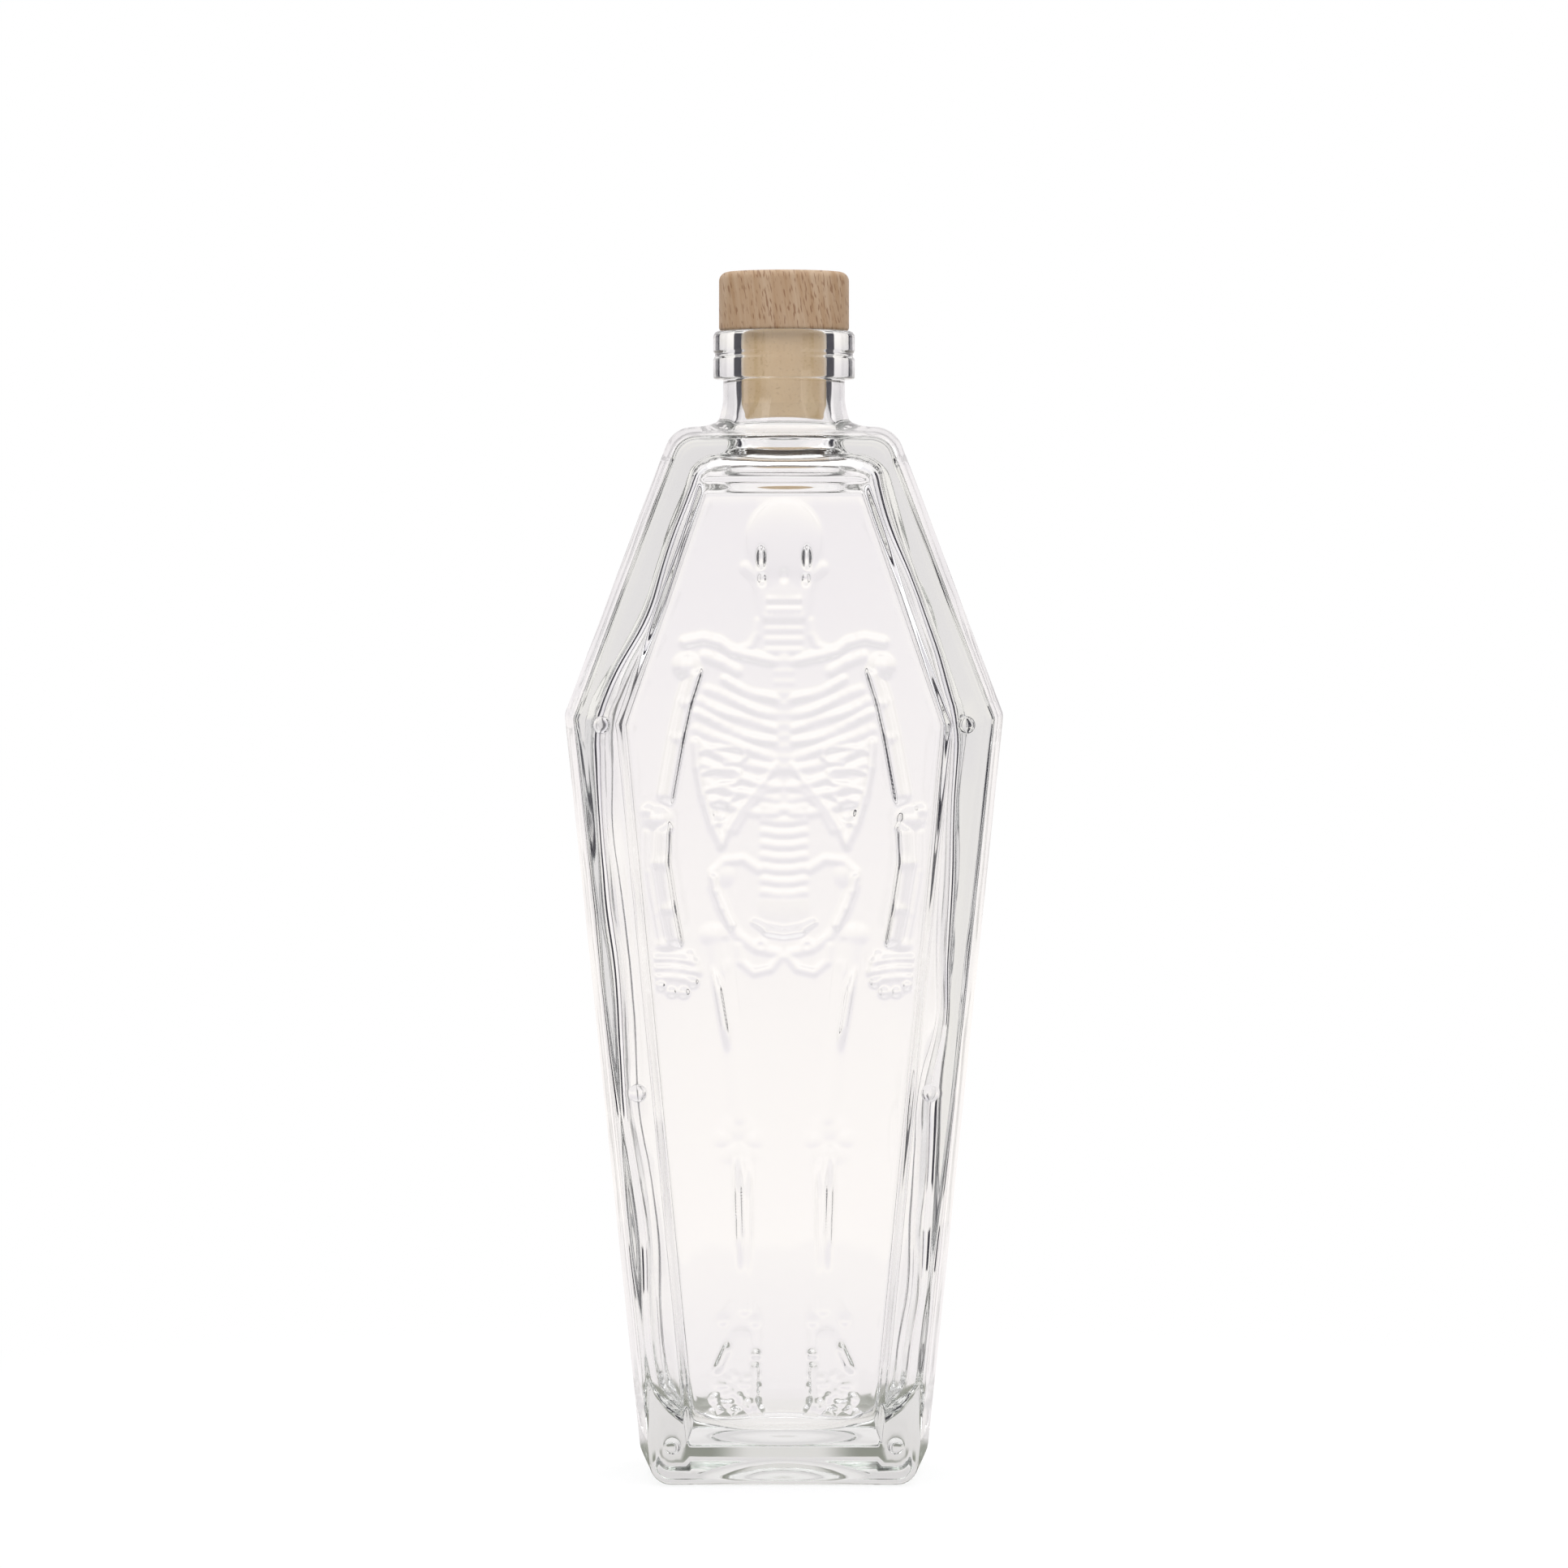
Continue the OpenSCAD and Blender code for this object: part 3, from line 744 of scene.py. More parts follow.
def insideSlice(z, halfWidths, front, back, corner, evenness=0.0):
    # a level slice of the cavity; halfWidths are the right one and the left one
    middle, deep = (front + back) / 2, (back - front) / 2
    quarters = []
    for seed, halfWidth in zip((1.5, 7.5), halfWidths):
        wander = 1 - evenness
        drifted = halfWidth + wander * cavity["drift"] / 2 * unevenly(seed, z, cavity["driftLength"])
        radius = corner * (1 + wander * cavity["cornerChange"] * unevenly(seed + 4, z, cavity["driftLength"]))
        radius = min(radius, drifted * 0.8, deep * 0.8)
        lowLean, highLean = cavity["lean"]
        lean = lowLean + (highLean - lowLean) * float(smoothStep(z, *cavity["leanTurns"]))
        quarters.append(insideQuarter(drifted, deep, radius, lean * wander, panelHalf(z)))
    right, left = quarters
    parts = (
        right,
        [[0, deep]],
        (left * (-1, 1))[::-1],
        (left * (-1, -1))[1:],
        [[0, -deep]],
        (right * (1, -1))[:0:-1],
    )
    return lay(np.concatenate(parts) + (0, middle), z)


def lay(flat, z):
    return np.column_stack([flat, np.broadcast_to(z, len(flat))])


pattern = insideSlice(212.0, [upperX(212.0, 5.0)] * 2, -19.0, 19.0, 9.0, 1.0)
# angles that the neck's circles share with the inside
turn = np.unwrap(np.arctan2(pattern[:, 1], pattern[:, 0]))


def roofZ(flat):
    return body["shoulderHeight"] - draft * draftShare(flat[:, 1]) - crownDrop(flat[:, 0])


neckFoot = circle(neck["skirtRadius"], turn)
glass.patch(openLoop(topEdge), [neckFoot], [], lambda flat: lay(flat, roofZ(flat)))

# foot with its push-up
footTurn = np.arange(72) * math.pi / 36
ball = (body["pushUpRadius"] ** 2 + body["pushUpHeight"] ** 2) / (2 * body["pushUpHeight"])
pushRings = [lay(circle(body["pushUpRadius"] + out, footTurn), z) for out, z in ((0.8, 0), (0.3, 0.04))]
for share in (0.97, 0.92, 0.84, 0.7, 0.5, 0.3, 0.12):
    radius = body["pushUpRadius"] * share
    z = math.sqrt(ball**2 - radius**2) - ball + body["pushUpHeight"]
    pushRings.append(lay(circle(radius, footTurn), z))
glass.strip(pushRings)
glass.close(pushRings[-1], (0, 0, body["pushUpHeight"]))
glass.patch(openLoop(footEdge), [pushRings[0][:, :2]], [], lambda flat: lay(flat, 0))


# neck, collar and mouth, turned
def turnedPath(corners, steps=5):
    arcs = [cornerArc(a, b, c, b[2], steps) for a, b, c in zip(corners, corners[1:], corners[2:])]
    return np.concatenate([[corners[0][:2]], *arcs, [corners[-1][:2]]])


collarFoot, grooveZ = mouthZ - neck["collarHeight"], mouthZ - neck["grooveDrop"]
grooveR = neck["collarRadius"] - neck["grooveDepth"]
throat = [
    (neck["waist"] + neck["flare"] * min(z - neck["waistZ"], 0) ** 2, z)
    for z in np.arange(neck["skirtTop"], collarFoot - 0.6, 0.8)
]
neckPath = turnedPath(
    [
        (*throat[-1], 0),
        (neck["radius"] + 0.05, collarFoot, 0.4),
        (neck["collarRadius"], collarFoot, 0.5),
        (neck["collarRadius"], grooveZ - neck["grooveHalf"], 0.4),
        (grooveR, grooveZ - 0.3, 0.25),
        (grooveR, grooveZ + 0.3, 0.25),
        (neck["collarRadius"], grooveZ + neck["grooveHalf"], 0.4),
        (neck["collarRadius"], mouthZ, neck["lipRadius"]),
        (neck["boreRadius"], mouthZ, 0.5),
        (neck["boreRadius"], neck["boreFoot"], 0),
    ]
)
neckPath = np.concatenate([throat[:-1], neckPath])
neckRings = []
for angle in np.linspace(0, math.pi / 2, 9)[:-1]:
    # a quarter curve from the roof of the shoulders up into the neck
    rise = 1 - math.cos(angle)
    flat = circle(neck["skirtRadius"] + (neckPath[0][0] - neck["skirtRadius"]) * math.sin(angle), turn)
    neckRings.append(lay(flat, roofZ(flat) * (1 - rise) + neckPath[0][1] * rise))
neckRings += [lay(circle(radius, turn), z) for radius, z in neckPath]


# the blown inside, in level slices from the bore down to the cavity's floor
def wallAt(z, heights):
    for (lowZ, lowWall), (highZ, highWall) in zip(heights, heights[1:]):
        if z <= highZ:
            return lowWall + (highWall - lowWall) * float(smoothStep(z, lowZ, highZ))
    return heights[-1][1]


def halfWidthsAt(z):
    widths = []
    for heights in (sideWalls["right"], sideWalls["left"]):
        wall = wallAt(z, heights)
        lower, upper, blend = lowerX(z, wall), upperX(z, wall), cavity["widestBlend"]
        gap = max(blend - abs(lower - upper), 0)
        widths.append(min(lower, upper) - gap * gap / (4 * blend))
    return np.array(widths)


def blownRing(ring, amount):
    # the inside follows the frame round the panel, and blowing left long streaks at the corners
    z = ring[0, 2]
    middle, deep = (ring[:, 1].min() + ring[:, 1].max()) / 2, np.ptp(ring[:, 1]) / 2
    top = body["shoulderHeight"] - draft - panel["above"] - panel["bevelTop"] / 2
    insideTop = min(top - z, z - panel["below"] - panel["bevelFoot"] / 2)
    within = np.minimum(panelHalf(z) - np.abs(ring[:, 0]), insideTop)  # how far inside the panel's outline
    facing = (ring[:, 1] - middle) / deep  # -1 at the front wall, 1 at the rear wall
    frontness = smoothStep(-facing, *cavity["facing"])
    bulge = frontness * (1 - smoothStep(within, -cavity["bulgeHalf"], cavity["bulgeHalf"]))
    fromSide = np.abs(ring[:, 0]).max() - np.abs(ring[:, 0])
    wall = 1 - smoothStep(fromSide, *cavity["wallReach"])  # 1 at the side walls
    least = cavity["leastStreak"]
    cornered = least + (1 - least) * smoothStep(fromSide, *cavity["streakReach"])
    framed = smoothStep(-within, -cavity["frameReach"], 0) * cornered * np.abs(facing)
    out = ring[:, :2] - (0, middle)
    out /= np.maximum(np.linalg.norm(out, axis=1), 1)[:, None]

    def noiseIn(x, y, kind):
        wide, long = cavity[kind + "Width"], cavity[kind + "Length"]
        return noise.noise(Vector((x / wide, y / wide, z / long)))

    for i, (x, y, _) in enumerate(ring.copy()):
        soft = cavity["waveElsewhere"] * (cavity["leastWave"] + framed[i]) + cavity["wave"] * wall[i]
        streak = cavity["streak"] * noiseIn(x, y, "streak")
        ring[i, :2] += out[i] * amount * (noiseIn(x, y, "wave") * soft + streak * framed[i])
    ring[:, 1] -= cavity["bulge"] * amount * bulge
    return ring


top, cornerR = cavity["top"], cavity["cornerRadius"]
front, back = cavity["front"], cavity["back"]


def shoulderSlice(angle):
    # angle is 0 where the shoulders meet the roof and a right angle where they meet the walls
    z = top - cavity["shoulderFall"] * (1 - math.cos(angle))
    high = max(z - top + cavity["shoulderRadius"], 0)
    pullX = cavity["shoulderRadius"] - math.sqrt(cavity["shoulderRadius"] ** 2 - high**2)
    pullY = cavity["shoulderDepth"] * (1 - math.sin(angle))
    evenness = 1 - math.sin(angle)
    return insideSlice(z, halfWidthsAt(z) - pullX, front + pullY, back - pullY, cornerR + pullY / 2, evenness)


# the bore widens slowly, then turns into the roof of the cavity
insideRings = []
bore, roof = lay(circle(neck["boreRadius"], turn), neck["boreFoot"]), shoulderSlice(0)
turnZ, done = top + neck["throatTurn"], neck["throatShare"]
# where the bore's wall, run on, meets the roof
hinge = done + 2 * done * neck["throatTurn"] / (neck["boreFoot"] - turnZ)
throatSteps = [
    (done * t * t, neck["boreFoot"] + (turnZ - neck["boreFoot"]) * t) for t in np.arange(0.06, 0.99, 0.06)
]
for t in np.linspace(0, 1, 13):
    widened = done * (1 - t) ** 2 + 2 * hinge * t * (1 - t) + t * t
    throatSteps.append((widened, top + neck["throatTurn"] * (1 - t) ** 2))
for widened, z in throatSteps:
    ring = bore + (roof - bore) * widened
    ring[:, 2] = z
    insideRings.append(ring)
for angle in np.radians(np.arange(6, 91, 6)):
    insideRings.append(blownRing(shoulderSlice(angle), math.sin(angle) ** 2))
footTop = cavity["floor"] + cavity["footRadiusX"]
for z in np.linspace(top - cavity["shoulderFall"], footTop, 100)[1:]:
    insideRings.append(blownRing(insideSlice(z, halfWidthsAt(z), front, back, cornerR), 1))
for angle in np.radians(np.arange(5, 90, 5)):
    # the sides round in early and the faces late, so that the floor is a bowl
    z = footTop - cavity["footRadiusX"] * math.sin(angle)
    pullX = cavity["footRadiusX"] * (1 - math.cos(angle))
    low = max(cavity["floor"] + cavity["footRadiusY"] - z, 0)
    pullY = cavity["footRadiusY"] - math.sqrt(cavity["footRadiusY"] ** 2 - low**2)
    corner = cornerR + cavity["footCorner"] * math.sin(angle) ** 2
    ring = insideSlice(z, halfWidthsAt(z) - pullX, front + pullY, back - pullY, corner)
    insideRings.append(blownRing(ring, math.cos(angle)))
floorTip = np.array([0, (front + back) / 2, cavity["floor"]])
for share in (0.8, 0.55, 0.3):
    insideRings.append(floorTip + (insideRings[-1] - floorTip) * np.array([share, share, 0.5]))
glass.strip(neckRings + insideRings)
glass.close(insideRings[-1], floorTip)
bottleGlass = glass.build("bottle_glass")


def hexColor(text):
    # sRGB hex to linear
    parts = [int(text[i : i + 2], 16) / 255 for i in (0, 2, 4)]
    return [p / 12.92 if p <= 0.04045 else ((p + 0.055) / 1.055) ** 2.4 for p in parts] + [1.0]


def addNode(tree, kind, inputs=None, **settings):
    node = tree.nodes.new(kind)
    for name, value in settings.items():
        setattr(node, name, value)
    for name, value in (inputs or {}).items():
        if isinstance(value, bpy.types.NodeSocket):
            tree.links.new(value, node.inputs[name])
        else:
            node.inputs[name].default_value = value
    return node


def shade(tree, kind, sockets=None, **settings):
    # a shader node's first output, which for a light path is whether the camera looks
    return addNode(tree, "ShaderNode" + kind, sockets, **settings).outputs[0]


def mapped(tree, value, low, high, toLow=0.0, toHigh=1.0, soft=False):
    # where a value stands between two limits, from 0 to 1 or between two other limits
    limits = {"Value": value, "From Min": low, "From Max": high, "To Min": toLow, "To Max": toHigh}
    kind = "SMOOTHSTEP" if soft else "LINEAR"
    return shade(tree, "MapRange", limits, interpolation_type=kind)


def mixedTone(tree, share, first, second, blend="MIX"):
    first, second = (hexColor(tone) if isinstance(tone, str) else tone for tone in (first, second))
    sockets = {0: share, 6: first, 7: second}
    return addNode(tree, "ShaderNodeMix", sockets, data_type="RGBA", blend_type=blend).outputs[2]


def noiseAt(tree, place, size, detail, roughness=0.5):
    sockets = {"Vector": place, "Scale": 1 / size, "Detail": detail, "Roughness": roughness}
    return shade(tree, "TexNoise", sockets)


def counted(tree, operation, *values):
    return shade(tree, "Math", dict(enumerate(values)), operation=operation)


def bumped(tree, height, strength, distance):
    return shade(tree, "Bump", {"Height": height, "Strength": strength, "Distance": distance})


def newMaterial(name):
    material = bpy.data.materials.new(name)
    material.use_nodes = True
    tree = material.node_tree
    tree.nodes.clear()
    return material, tree, addNode(tree, "ShaderNodeTexCoord").outputs["Object"]


def mattSurface(tree, tone, roughness, normal):
    sockets = {"Base Color": tone, "Roughness": roughness, "Normal": normal}
    addNode(tree, "ShaderNodeOutputMaterial", {"Surface": shade(tree, "BsdfPrincipled", sockets)})


flint = {
    "tint": "fefefe",
    "thickTint": "bdc4bd",  # what a thick edge turns to
    "absorption": 8.0,  # per metre
    "shadowTint": "eef1ee",
    "ior": 1.52,
    "roughness": 0.05,
    "ripple": 9.0,  # mm between the soft ripples that moulded glass keeps
    "rippleStrength": 0.035,
}


def makeFlintGlass():
    # soda-lime flint glass, pressed and blown in an iron mould: clear, grey-green in depth, softly rippled
    material, tree, place = newMaterial("flintGlassMoulded")
    ripples = noiseAt(tree, place, flint["ripple"] * mm, 2.0, 0.45)
    sockets = {
        "Base Color": hexColor(flint["tint"]),
        "Roughness": flint["roughness"],
        "IOR": flint["ior"],
        "Transmission Weight": 1.0,
        "Normal": bumped(tree, ripples, flint["rippleStrength"], 1 * mm),
    }
    clear = shade(tree, "BsdfPrincipled", sockets)
    passed = shade(tree, "BsdfTransparent", {"Color": hexColor(flint["shadowTint"])})
    lampRay = addNode(tree, "ShaderNodeLightPath").outputs["Is Shadow Ray"]
    surface = shade(tree, "MixShader", {0: lampRay, 1: clear, 2: passed})
    thick = {"Color": hexColor(flint["thickTint"]), "Density": flint["absorption"]}
    depth = shade(tree, "VolumeAbsorption", thick)
    addNode(tree, "ShaderNodeOutputMaterial", {"Surface": surface, "Volume": depth})
    return material


beech = {
    "pale": "bda487",
    "warm": "ab8b68",
    "ray": "8a6647",
    "grain": (1.3, 3.9, 24),  # mm across the grain, into the wood and along the grain
    "rays": (0.36, 6.0, 2.3),
    "pores": (0.14, 0.14, 1.2),
    "lean": 9.0,  # degrees that the grain leans
    "roughness": 0.55,
}


def makeBeech():
    # turned and sanded beech, unvarnished: pale, with short brown ray flecks along the grain
    material, tree, place = newMaterial("beechTurned")
    lean = (0, math.radians(beech["lean"]), 0)
    leaned = shade(tree, "Mapping", {"Vector": place, "Rotation": lean})

    def alongGrain(key, detail):
        # noise drawn out along the grain
        stretch = [1 / (size * mm) for size in beech[key]]
        stretched = shade(tree, "Mapping", {"Vector": leaned, "Scale": stretch})
        return noiseAt(tree, stretched, 1.0, detail)

    grain = mapped(tree, alongGrain("grain", 3.0), 0.32, 0.68)
    flecks = mapped(tree, alongGrain("rays", 1.0), 0.57, 0.66, toHigh=0.8)
    wood = mixedTone(tree, grain, beech["pale"], beech["warm"])
    flecked = mixedTone(tree, flecks, wood, beech["ray"])
    normal = bumped(tree, alongGrain("pores", 0.0), 0.25, 0.05 * mm)
    mattSurface(tree, flecked, beech["roughness"], normal)
    return material


cork = {
    "pale": "e6cba2",
    "warm": "dbbb90",
    "speck": "c4a174",
    "cloud": 5.0,
    "grain": 0.5,
    "roughness": 0.62,
}


def makeCork():
    # fine-grained synthetic cork, extruded and ground round: matt, even tan with a fine speckle
    material, tree, place = newMaterial("corkExtruded")
    cloud = noiseAt(tree, place, cork["cloud"] * mm, 2.0)
    grain = noiseAt(tree, place, cork["grain"] * mm, 2.0)
    tone = mixedTone(tree, cloud, cork["pale"], cork["warm"])
    speckled = mixedTone(tree, mapped(tree, grain, 0.58, 0.72, toHigh=0.6), tone, cork["speck"])
    mattSurface(tree, speckled, cork["roughness"], bumped(tree, grain, 0.2, 0.08 * mm))
    return material


def turned(name, corners, sizes, material, steps=96, arcSteps=8):
    # a lathe in geometry nodes: corners are (radius, height, rounding), each the name of an input
    tree = bpy.data.node_groups.new(name + "Lathe", "GeometryNodeTree")
    tree.interface.new_socket("Geometry", in_out="OUTPUT", socket_type="NodeSocketGeometry")
    labels = {}
    for label, kind in [*((label, "Float") for label in sizes), ("Finish", "Material")]:
        socket = tree.interface.new_socket(label, in_out="INPUT", socket_type="NodeSocket" + kind)
        labels[label] = socket.identifier
    given = addNode(tree, "NodeGroupInput").outputs
    index = addNode(tree, "GeometryNodeInputIndex").outputs[0]
    pathRadius = 1 * mm
    places = addNode(tree, "GeometryNodeIndexSwitch", data_type="VECTOR")
    roundings = addNode(tree, "GeometryNodeIndexSwitch", data_type="FLOAT")
    for choice in (places, roundings):
        for _ in range(len(corners) - 2):
            choice.index_switch_items.new()
        tree.links.new(index, choice.inputs["Index"])
    for i, (radius, height, rounding) in enumerate(corners):
        fromPath = counted(tree, "SUBTRACT", given[radius] if radius else 0.0, pathRadius)
        upward = counted(tree, "MULTIPLY", given[height], -1.0)  # a profile's Y hangs down
        place = shade(tree, "CombineXYZ", {"X": fromPath, "Y": upward})
        tree.links.new(place, places.inputs[i + 1])
        if rounding:
            tree.links.new(given[rounding], roundings.inputs[i + 1])

    def step(kind, sockets, **settings):
        return addNode(tree, "GeometryNode" + kind, sockets, **settings).outputs[0]

    line = step("MeshLine", {"Count": len(corners)})
    placed = step("SetPosition", {"Geometry": line, "Position": places.outputs[0]})
    profile = step("MeshToCurve", {"Mesh": placed})
    rounding = {"Curve": profile, "Radius": roundings.outputs[0], "Count": arcSteps}
    filleted = step("FilletCurve", rounding, mode="POLY")
    path = step("CurvePrimitiveCircle", {"Resolution": steps, "Radius": pathRadius})
    swept = step("CurveToMesh", {"Curve": path, "Profile Curve": filleted})
    merged = step("MergeByDistance", {"Geometry": swept, "Distance": 0.01 * mm})
    smooth = step("SetShadeSmooth", {"Geometry": merged})
    real = step("RealizeInstances", {"Geometry": smooth})
    finish = step("SetMaterial", {"Geometry": real, "Material": given["Finish"]})
    tree.links.new(finish, addNode(tree, "NodeGroupOutput").inputs[0])
    blank = addThing(name, bpy.data.meshes.new(name + "Blank"))
    lathe = blank.modifiers.new("lathe", "NODES")
    lathe.node_group = tree
    for label, size in sizes.items():
        lathe[labels[label]] = size * mm
    lathe[labels["Finish"]] = material
    bpy.context.view_layer.update()
    made = bpy.data.meshes.new_from_object(blank.evaluated_get(bpy.context.evaluated_depsgraph_get()))
    blank.modifiers.remove(lathe)
    blank.data = made
    clean(made, name)
    made.name = name
    return blank


head = {
    "Radius": 14.15,
    "Foot": mouthZ,
    "Top": mouthZ + 12.8,
    "Foot Edge": 0.7,
    "Top Edge": 2.0,
    "Socket Radius": 9.25,
    "Socket Top": mouthZ + 4.0,
    "Socket Edge": 0.2,
}
shank = {
    "Radius": 9.25,
    "Taper Radius": 7.65,
    "Foot": mouthZ - 19.2,
    "Taper Top": mouthZ - 16.0,
    "Top": mouthZ + 4.0,
    "Foot Edge": 0.5,
    "Taper Edge": 1.0,
    "Top Edge": 0.2,
}
flintGlass = makeFlintGlass()
bottleGlass.data.materials.append(flintGlass)
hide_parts("bottle")
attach(bottleGlass, "bottle")

headCorners = (
    ("", "Socket Top", ""),
    ("Socket Radius", "Socket Top", ""),
    ("Socket Radius", "Foot", "Socket Edge"),
    ("Radius", "Foot", "Foot Edge"),
    ("Radius", "Top", "Top Edge"),
    ("", "Top", ""),
)
stopperHead = turned("stopper_knob", headCorners, head, makeBeech())
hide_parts("stopper_head")
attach(stopperHead, "stopper")

shankCorners = (
    ("", "Foot", ""),
    ("Taper Radius", "Foot", "Foot Edge"),
    ("Radius", "Taper Top", "Taper Edge"),
    ("Radius", "Top", "Top Edge"),
    ("", "Top", ""),
)
stopperShank = turned("stopper_cork", shankCorners, shank, makeCork())
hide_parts("stopper_shank")
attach(stopperShank, "stopper")
print("stopper turned")


# Floor: white where the camera sees it, with the bottle's soft shadow close to the foot
floor = {
    "radius": 0.5,  # metres
    "below": 0.0002,
    "shadowFrom": 0.1,
    "shadowTo": 0.3,
    "shadowShare": 0.3,
    "tones": (  # metres from the middle and the tone that the glass shows: a painted shadow ring at the foot
        (0.0, "f4f1ef"),
        (0.028, "f0edea"),
        (0.035, "92948a"),
        (0.052, "94968c"),
        (0.064, "f2eeee"),
        (0.15, "f7f3f4"),
        (0.5, "fffbf9"),
    ),
    "gap": (7.0, 17.0),  # mm to each side, where painted light pales the ring, standing for the light that the bottle gathers
    "paintedLightTone": "efecea",
    "sway": 6.0,  # mm that the painted shadow ring's edges wander
    "swaySize": 9.0,
}


def setStops(ramp, tones):
    stops = ramp.color_ramp.elements
    while len(stops) < len(tones):
        stops.new(0.5)
    for stop, (position, tone) in zip(stops, tones):
        stop.position, stop.color = position, hexColor(tone)


def makeFloor():
    mesh = bpy.data.meshes.new("floor")
    work = bmesh.new()
    bmesh.ops.create_circle(work, cap_ends=True, segments=128, radius=floor["radius"])
    work.to_mesh(mesh)
    work.free()
    thing = addThing("floor", mesh, (0, 0, -floor["below"]))
    material, tree, place = newMaterial("floorPaperWithPaintedShade")
    away = addNode(tree, "ShaderNodeVectorMath", {0: place}, operation="LENGTH").outputs["Value"]
    cloud = noiseAt(tree, place, floor["swaySize"] * mm, 2.0)
    swayed = mapped(tree, cloud, 0.0, 1.0, -floor["sway"] * mm, floor["sway"] * mm)
    uneven = counted(tree, "ADD", away, swayed)
    paper = shade(tree, "BsdfDiffuse", {"Color": hexColor("ffffff")})
    white = shade(tree, "Emission", {"Color": hexColor("ffffff"), "Strength": 1.0})
    shaded = shade(tree, "MixShader", {0: floor["shadowShare"], 1: white, 2: paper})
    fade = mapped(tree, away, floor["shadowFrom"], floor["shadowTo"], soft=True)
    seen = shade(tree, "MixShader", {0: fade, 1: shaded, 2: white})
    # painted shadow: what glass and wood see of the floor is an emission whose tones paint a dark ring round
    # the foot
    ramp = addNode(tree, "ShaderNodeValToRGB", {0: mapped(tree, uneven, 0.0, floor["radius"])})
    setStops(ramp, [(distance / floor["radius"], tone) for distance, tone in floor["tones"]])
    # painted light: near the middle, to each side, the painted shadow ring is lightened towards a pale tone
    across = shade(tree, "SeparateXYZ", {0: place})
    paintedLightFrom, paintedLightTo = (size * mm for size in floor["gap"])
    pale = mapped(tree, counted(tree, "ABSOLUTE", across), paintedLightTo, paintedLightFrom, soft=True)
    paintedShadeAndLight = mixedTone(tree, pale, ramp.outputs[0], floor["paintedLightTone"], "LIGHTEN")
    # the painted shadow ring and its painted pale gap glow for every ray but the camera's
    paintedShadeGlow = shade(tree, "Emission", {"Color": paintedShadeAndLight, "Strength": 1.0})
    cameraRay = shade(tree, "LightPath")
    mixed = shade(tree, "MixShader", {0: cameraRay, 1: paintedShadeGlow, 2: seen})
    addNode(tree, "ShaderNodeOutputMaterial", {"Surface": mixed})
    mesh.materials.append(material)


makeFloor()

# World: a white tent. The camera sees plain white; glass and wood see its shades
tent = {
    "strength": 1.16,
    "tones": (  # how high a direction points (its Z) and the tone there, as a share of the strength
        (-0.5, "f6f2ef"),
        (-0.17, "f9f5f2"),
        (-0.07, "f2eeeb"),
        (0.0, "e9e5e6"),
        (0.09, "e2dee0"),
        (0.22, "dedbdc"),
        (0.42, "f3eff0"),
        (0.6, "f4f2f2"),
    ),
    "front": "f0f0f6",  # the tent's open front, behind the camera, is duller than its back
    "corner": "06061c",  # dark strips between the tent's back wall and its side walls
    "cornerFrom": 44.0,  # degrees away from straight behind or in front
    "cornerTo": 72.0,
    "cornerSoft": 2.5,
    "cornerFoot": (-0.36, -0.28),  # Z of the directions between which the strips begin and end
    "cornerHead": (0.8, 0.6),
    "backSoft": 0.3,
}


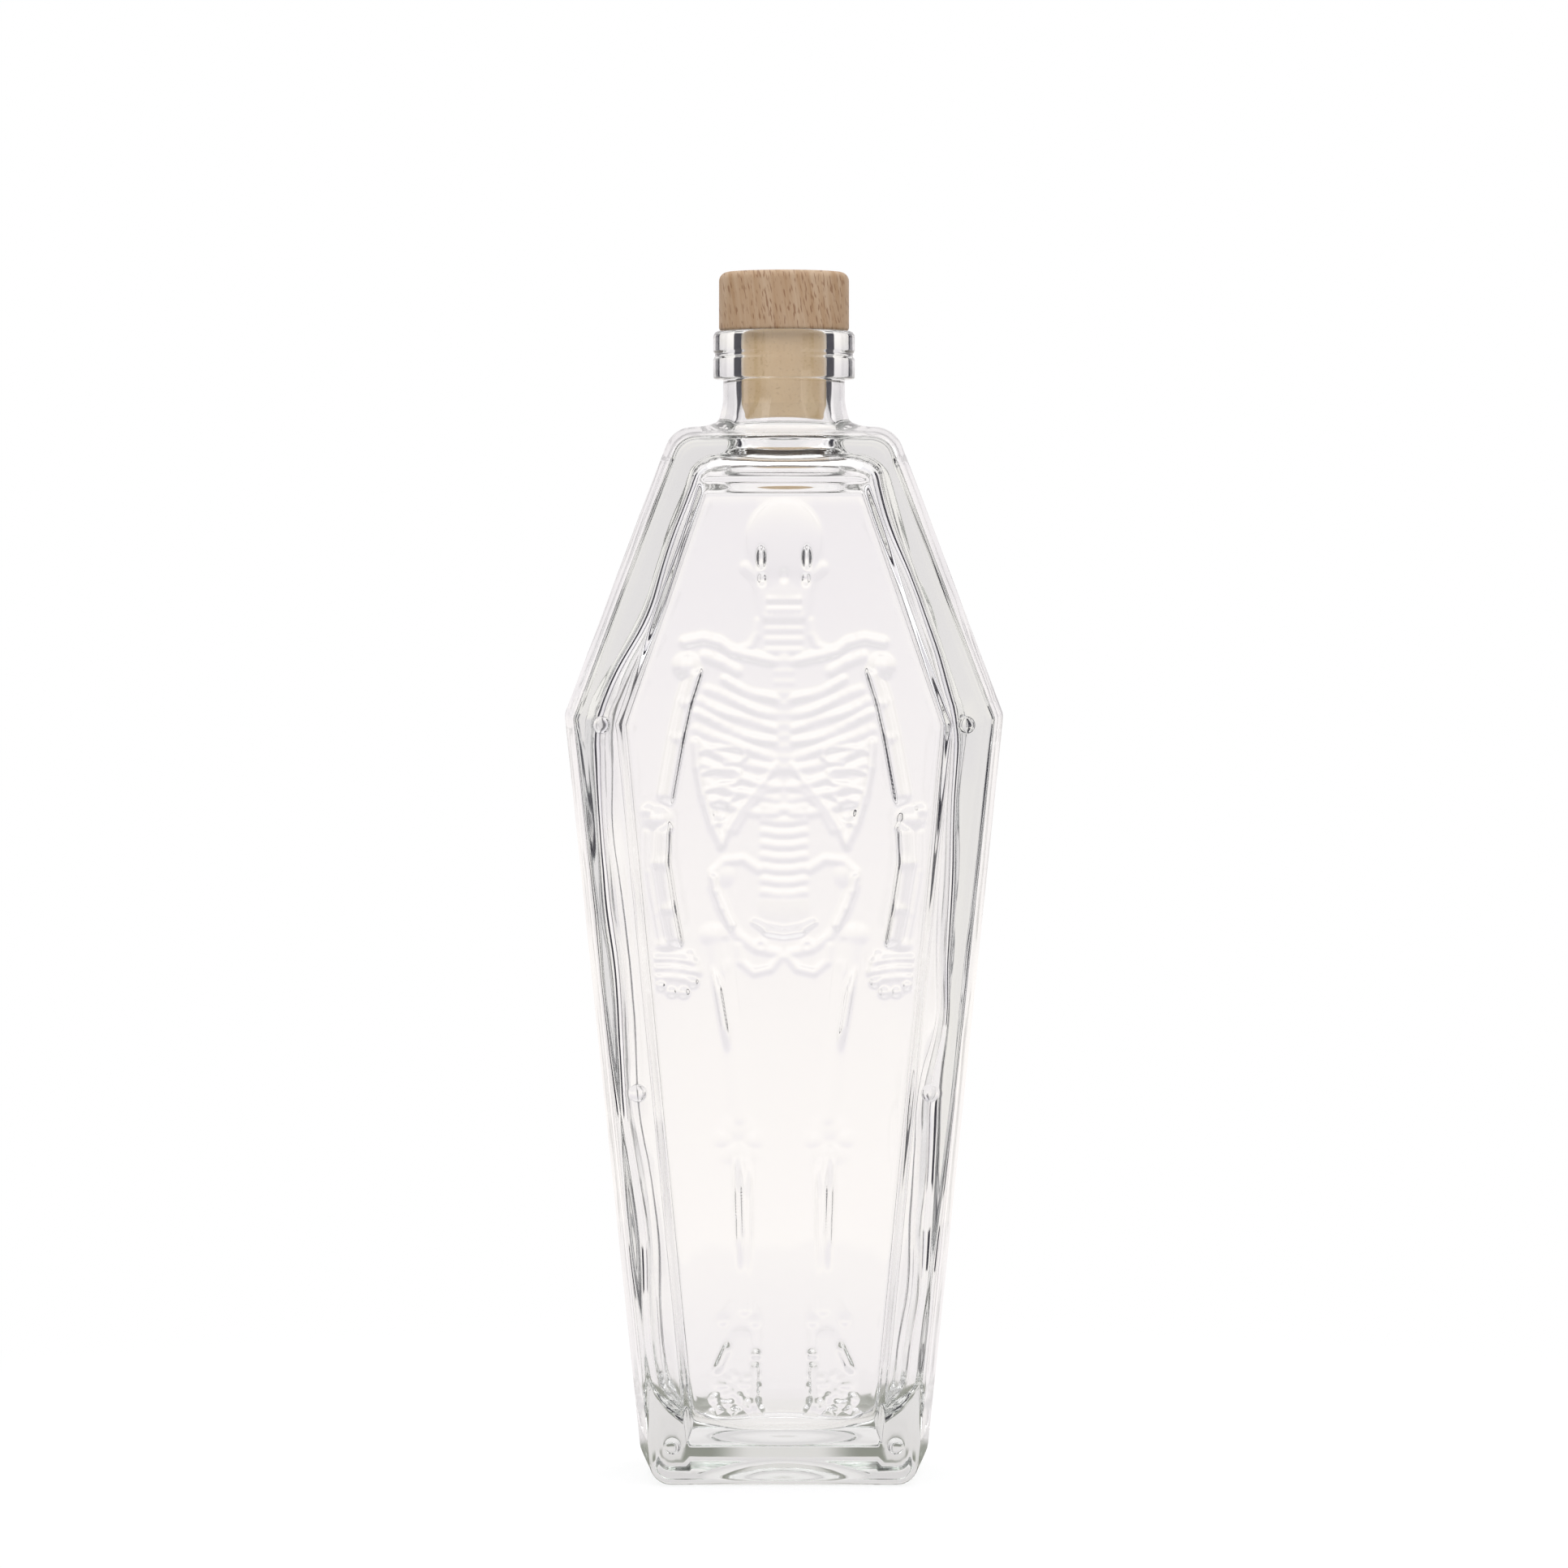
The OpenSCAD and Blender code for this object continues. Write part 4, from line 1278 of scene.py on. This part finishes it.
def makeTent():
    world = bpy.data.worlds.new("whiteTent")
    world.use_nodes = True
    tree = world.node_tree
    tree.nodes.clear()
    bpy.context.scene.world = world
    toward = addNode(tree, "ShaderNodeTexCoord").outputs["Generated"]
    upward = addNode(tree, "ShaderNodeSeparateXYZ", {0: toward}).outputs["Z"]
    lowest, highest = tent["tones"][0][0], tent["tones"][-1][0]
    ramp = addNode(tree, "ShaderNodeValToRGB", {0: mapped(tree, upward, lowest, highest)})
    setStops(ramp, [((z - lowest) / (highest - lowest), tone) for z, tone in tent["tones"]])
    level = shade(tree, "VectorMath", {0: toward, 1: (1, 1, 0)}, operation="MULTIPLY")
    unit = shade(tree, "VectorMath", {0: level}, operation="NORMALIZE")
    depth = addNode(tree, "ShaderNodeSeparateXYZ", {0: unit}).outputs["Y"]
    angle = counted(tree, "ARCCOSINE", counted(tree, "ABSOLUTE", depth))
    start, end, soft = (math.radians(tent[key]) for key in ("cornerFrom", "cornerTo", "cornerSoft"))
    dark = mapped(tree, angle, start - soft, start + soft, soft=True)
    for limited in (
        mapped(tree, angle, end + soft, end - soft, soft=True),
        mapped(tree, upward, *tent["cornerFoot"], soft=True),
        mapped(tree, upward, *tent["cornerHead"], soft=True),
    ):
        dark = counted(tree, "MULTIPLY", dark, limited)
    backShare = mapped(tree, depth, -tent["backSoft"], tent["backSoft"], soft=True)
    sides = mixedTone(tree, backShare, tent["front"], "ffffff")
    wall = mixedTone(tree, 1.0, ramp.outputs[0], sides, "MULTIPLY")
    tone = mixedTone(tree, dark, wall, tent["corner"])
    lit = shade(tree, "Background", {"Color": tone, "Strength": tent["strength"]})
    plain = shade(tree, "Background", {"Color": hexColor("ffffff"), "Strength": 1.0})
    chosen = shade(tree, "MixShader", {0: shade(tree, "LightPath"), 1: lit, 2: plain})
    addNode(tree, "ShaderNodeOutputWorld", {"Surface": chosen})


makeTent()

middle = (0, 0, 0.15)
lamps = (
    ("keyLeft", (-0.9, -0.9, 0.9), 0.7, 3.0),
    ("fillRight", (1.0, -0.7, 0.6), 0.7, 2.0),
    ("overhead", (0.0, 0.1, 1.1), 0.9, 5.0),
)
for name, place, size, power in lamps:
    lamp = bpy.data.lights.new(name, "AREA")
    lamp.shape, lamp.size, lamp.energy = "SQUARE", size, power
    addThing(name, lamp, place, middle).visible_glossy = False

view = {"from": (0, -1.45, 0.1938), "at": (0, 0, 0.1503), "lens": 152.6, "sensor": 36.0}
camera = bpy.data.cameras.new("camera")
camera.lens, camera.sensor_width = view["lens"], view["sensor"]
scene = bpy.context.scene
scene.camera = addThing("camera", camera, view["from"], view["at"])
scene.view_settings.view_transform = "Standard"
scene.cycles.max_bounces = 24
scene.cycles.transmission_bounces = 24
scene.cycles.glossy_bounces = 16
print("floor, tent, lamps and camera placed")
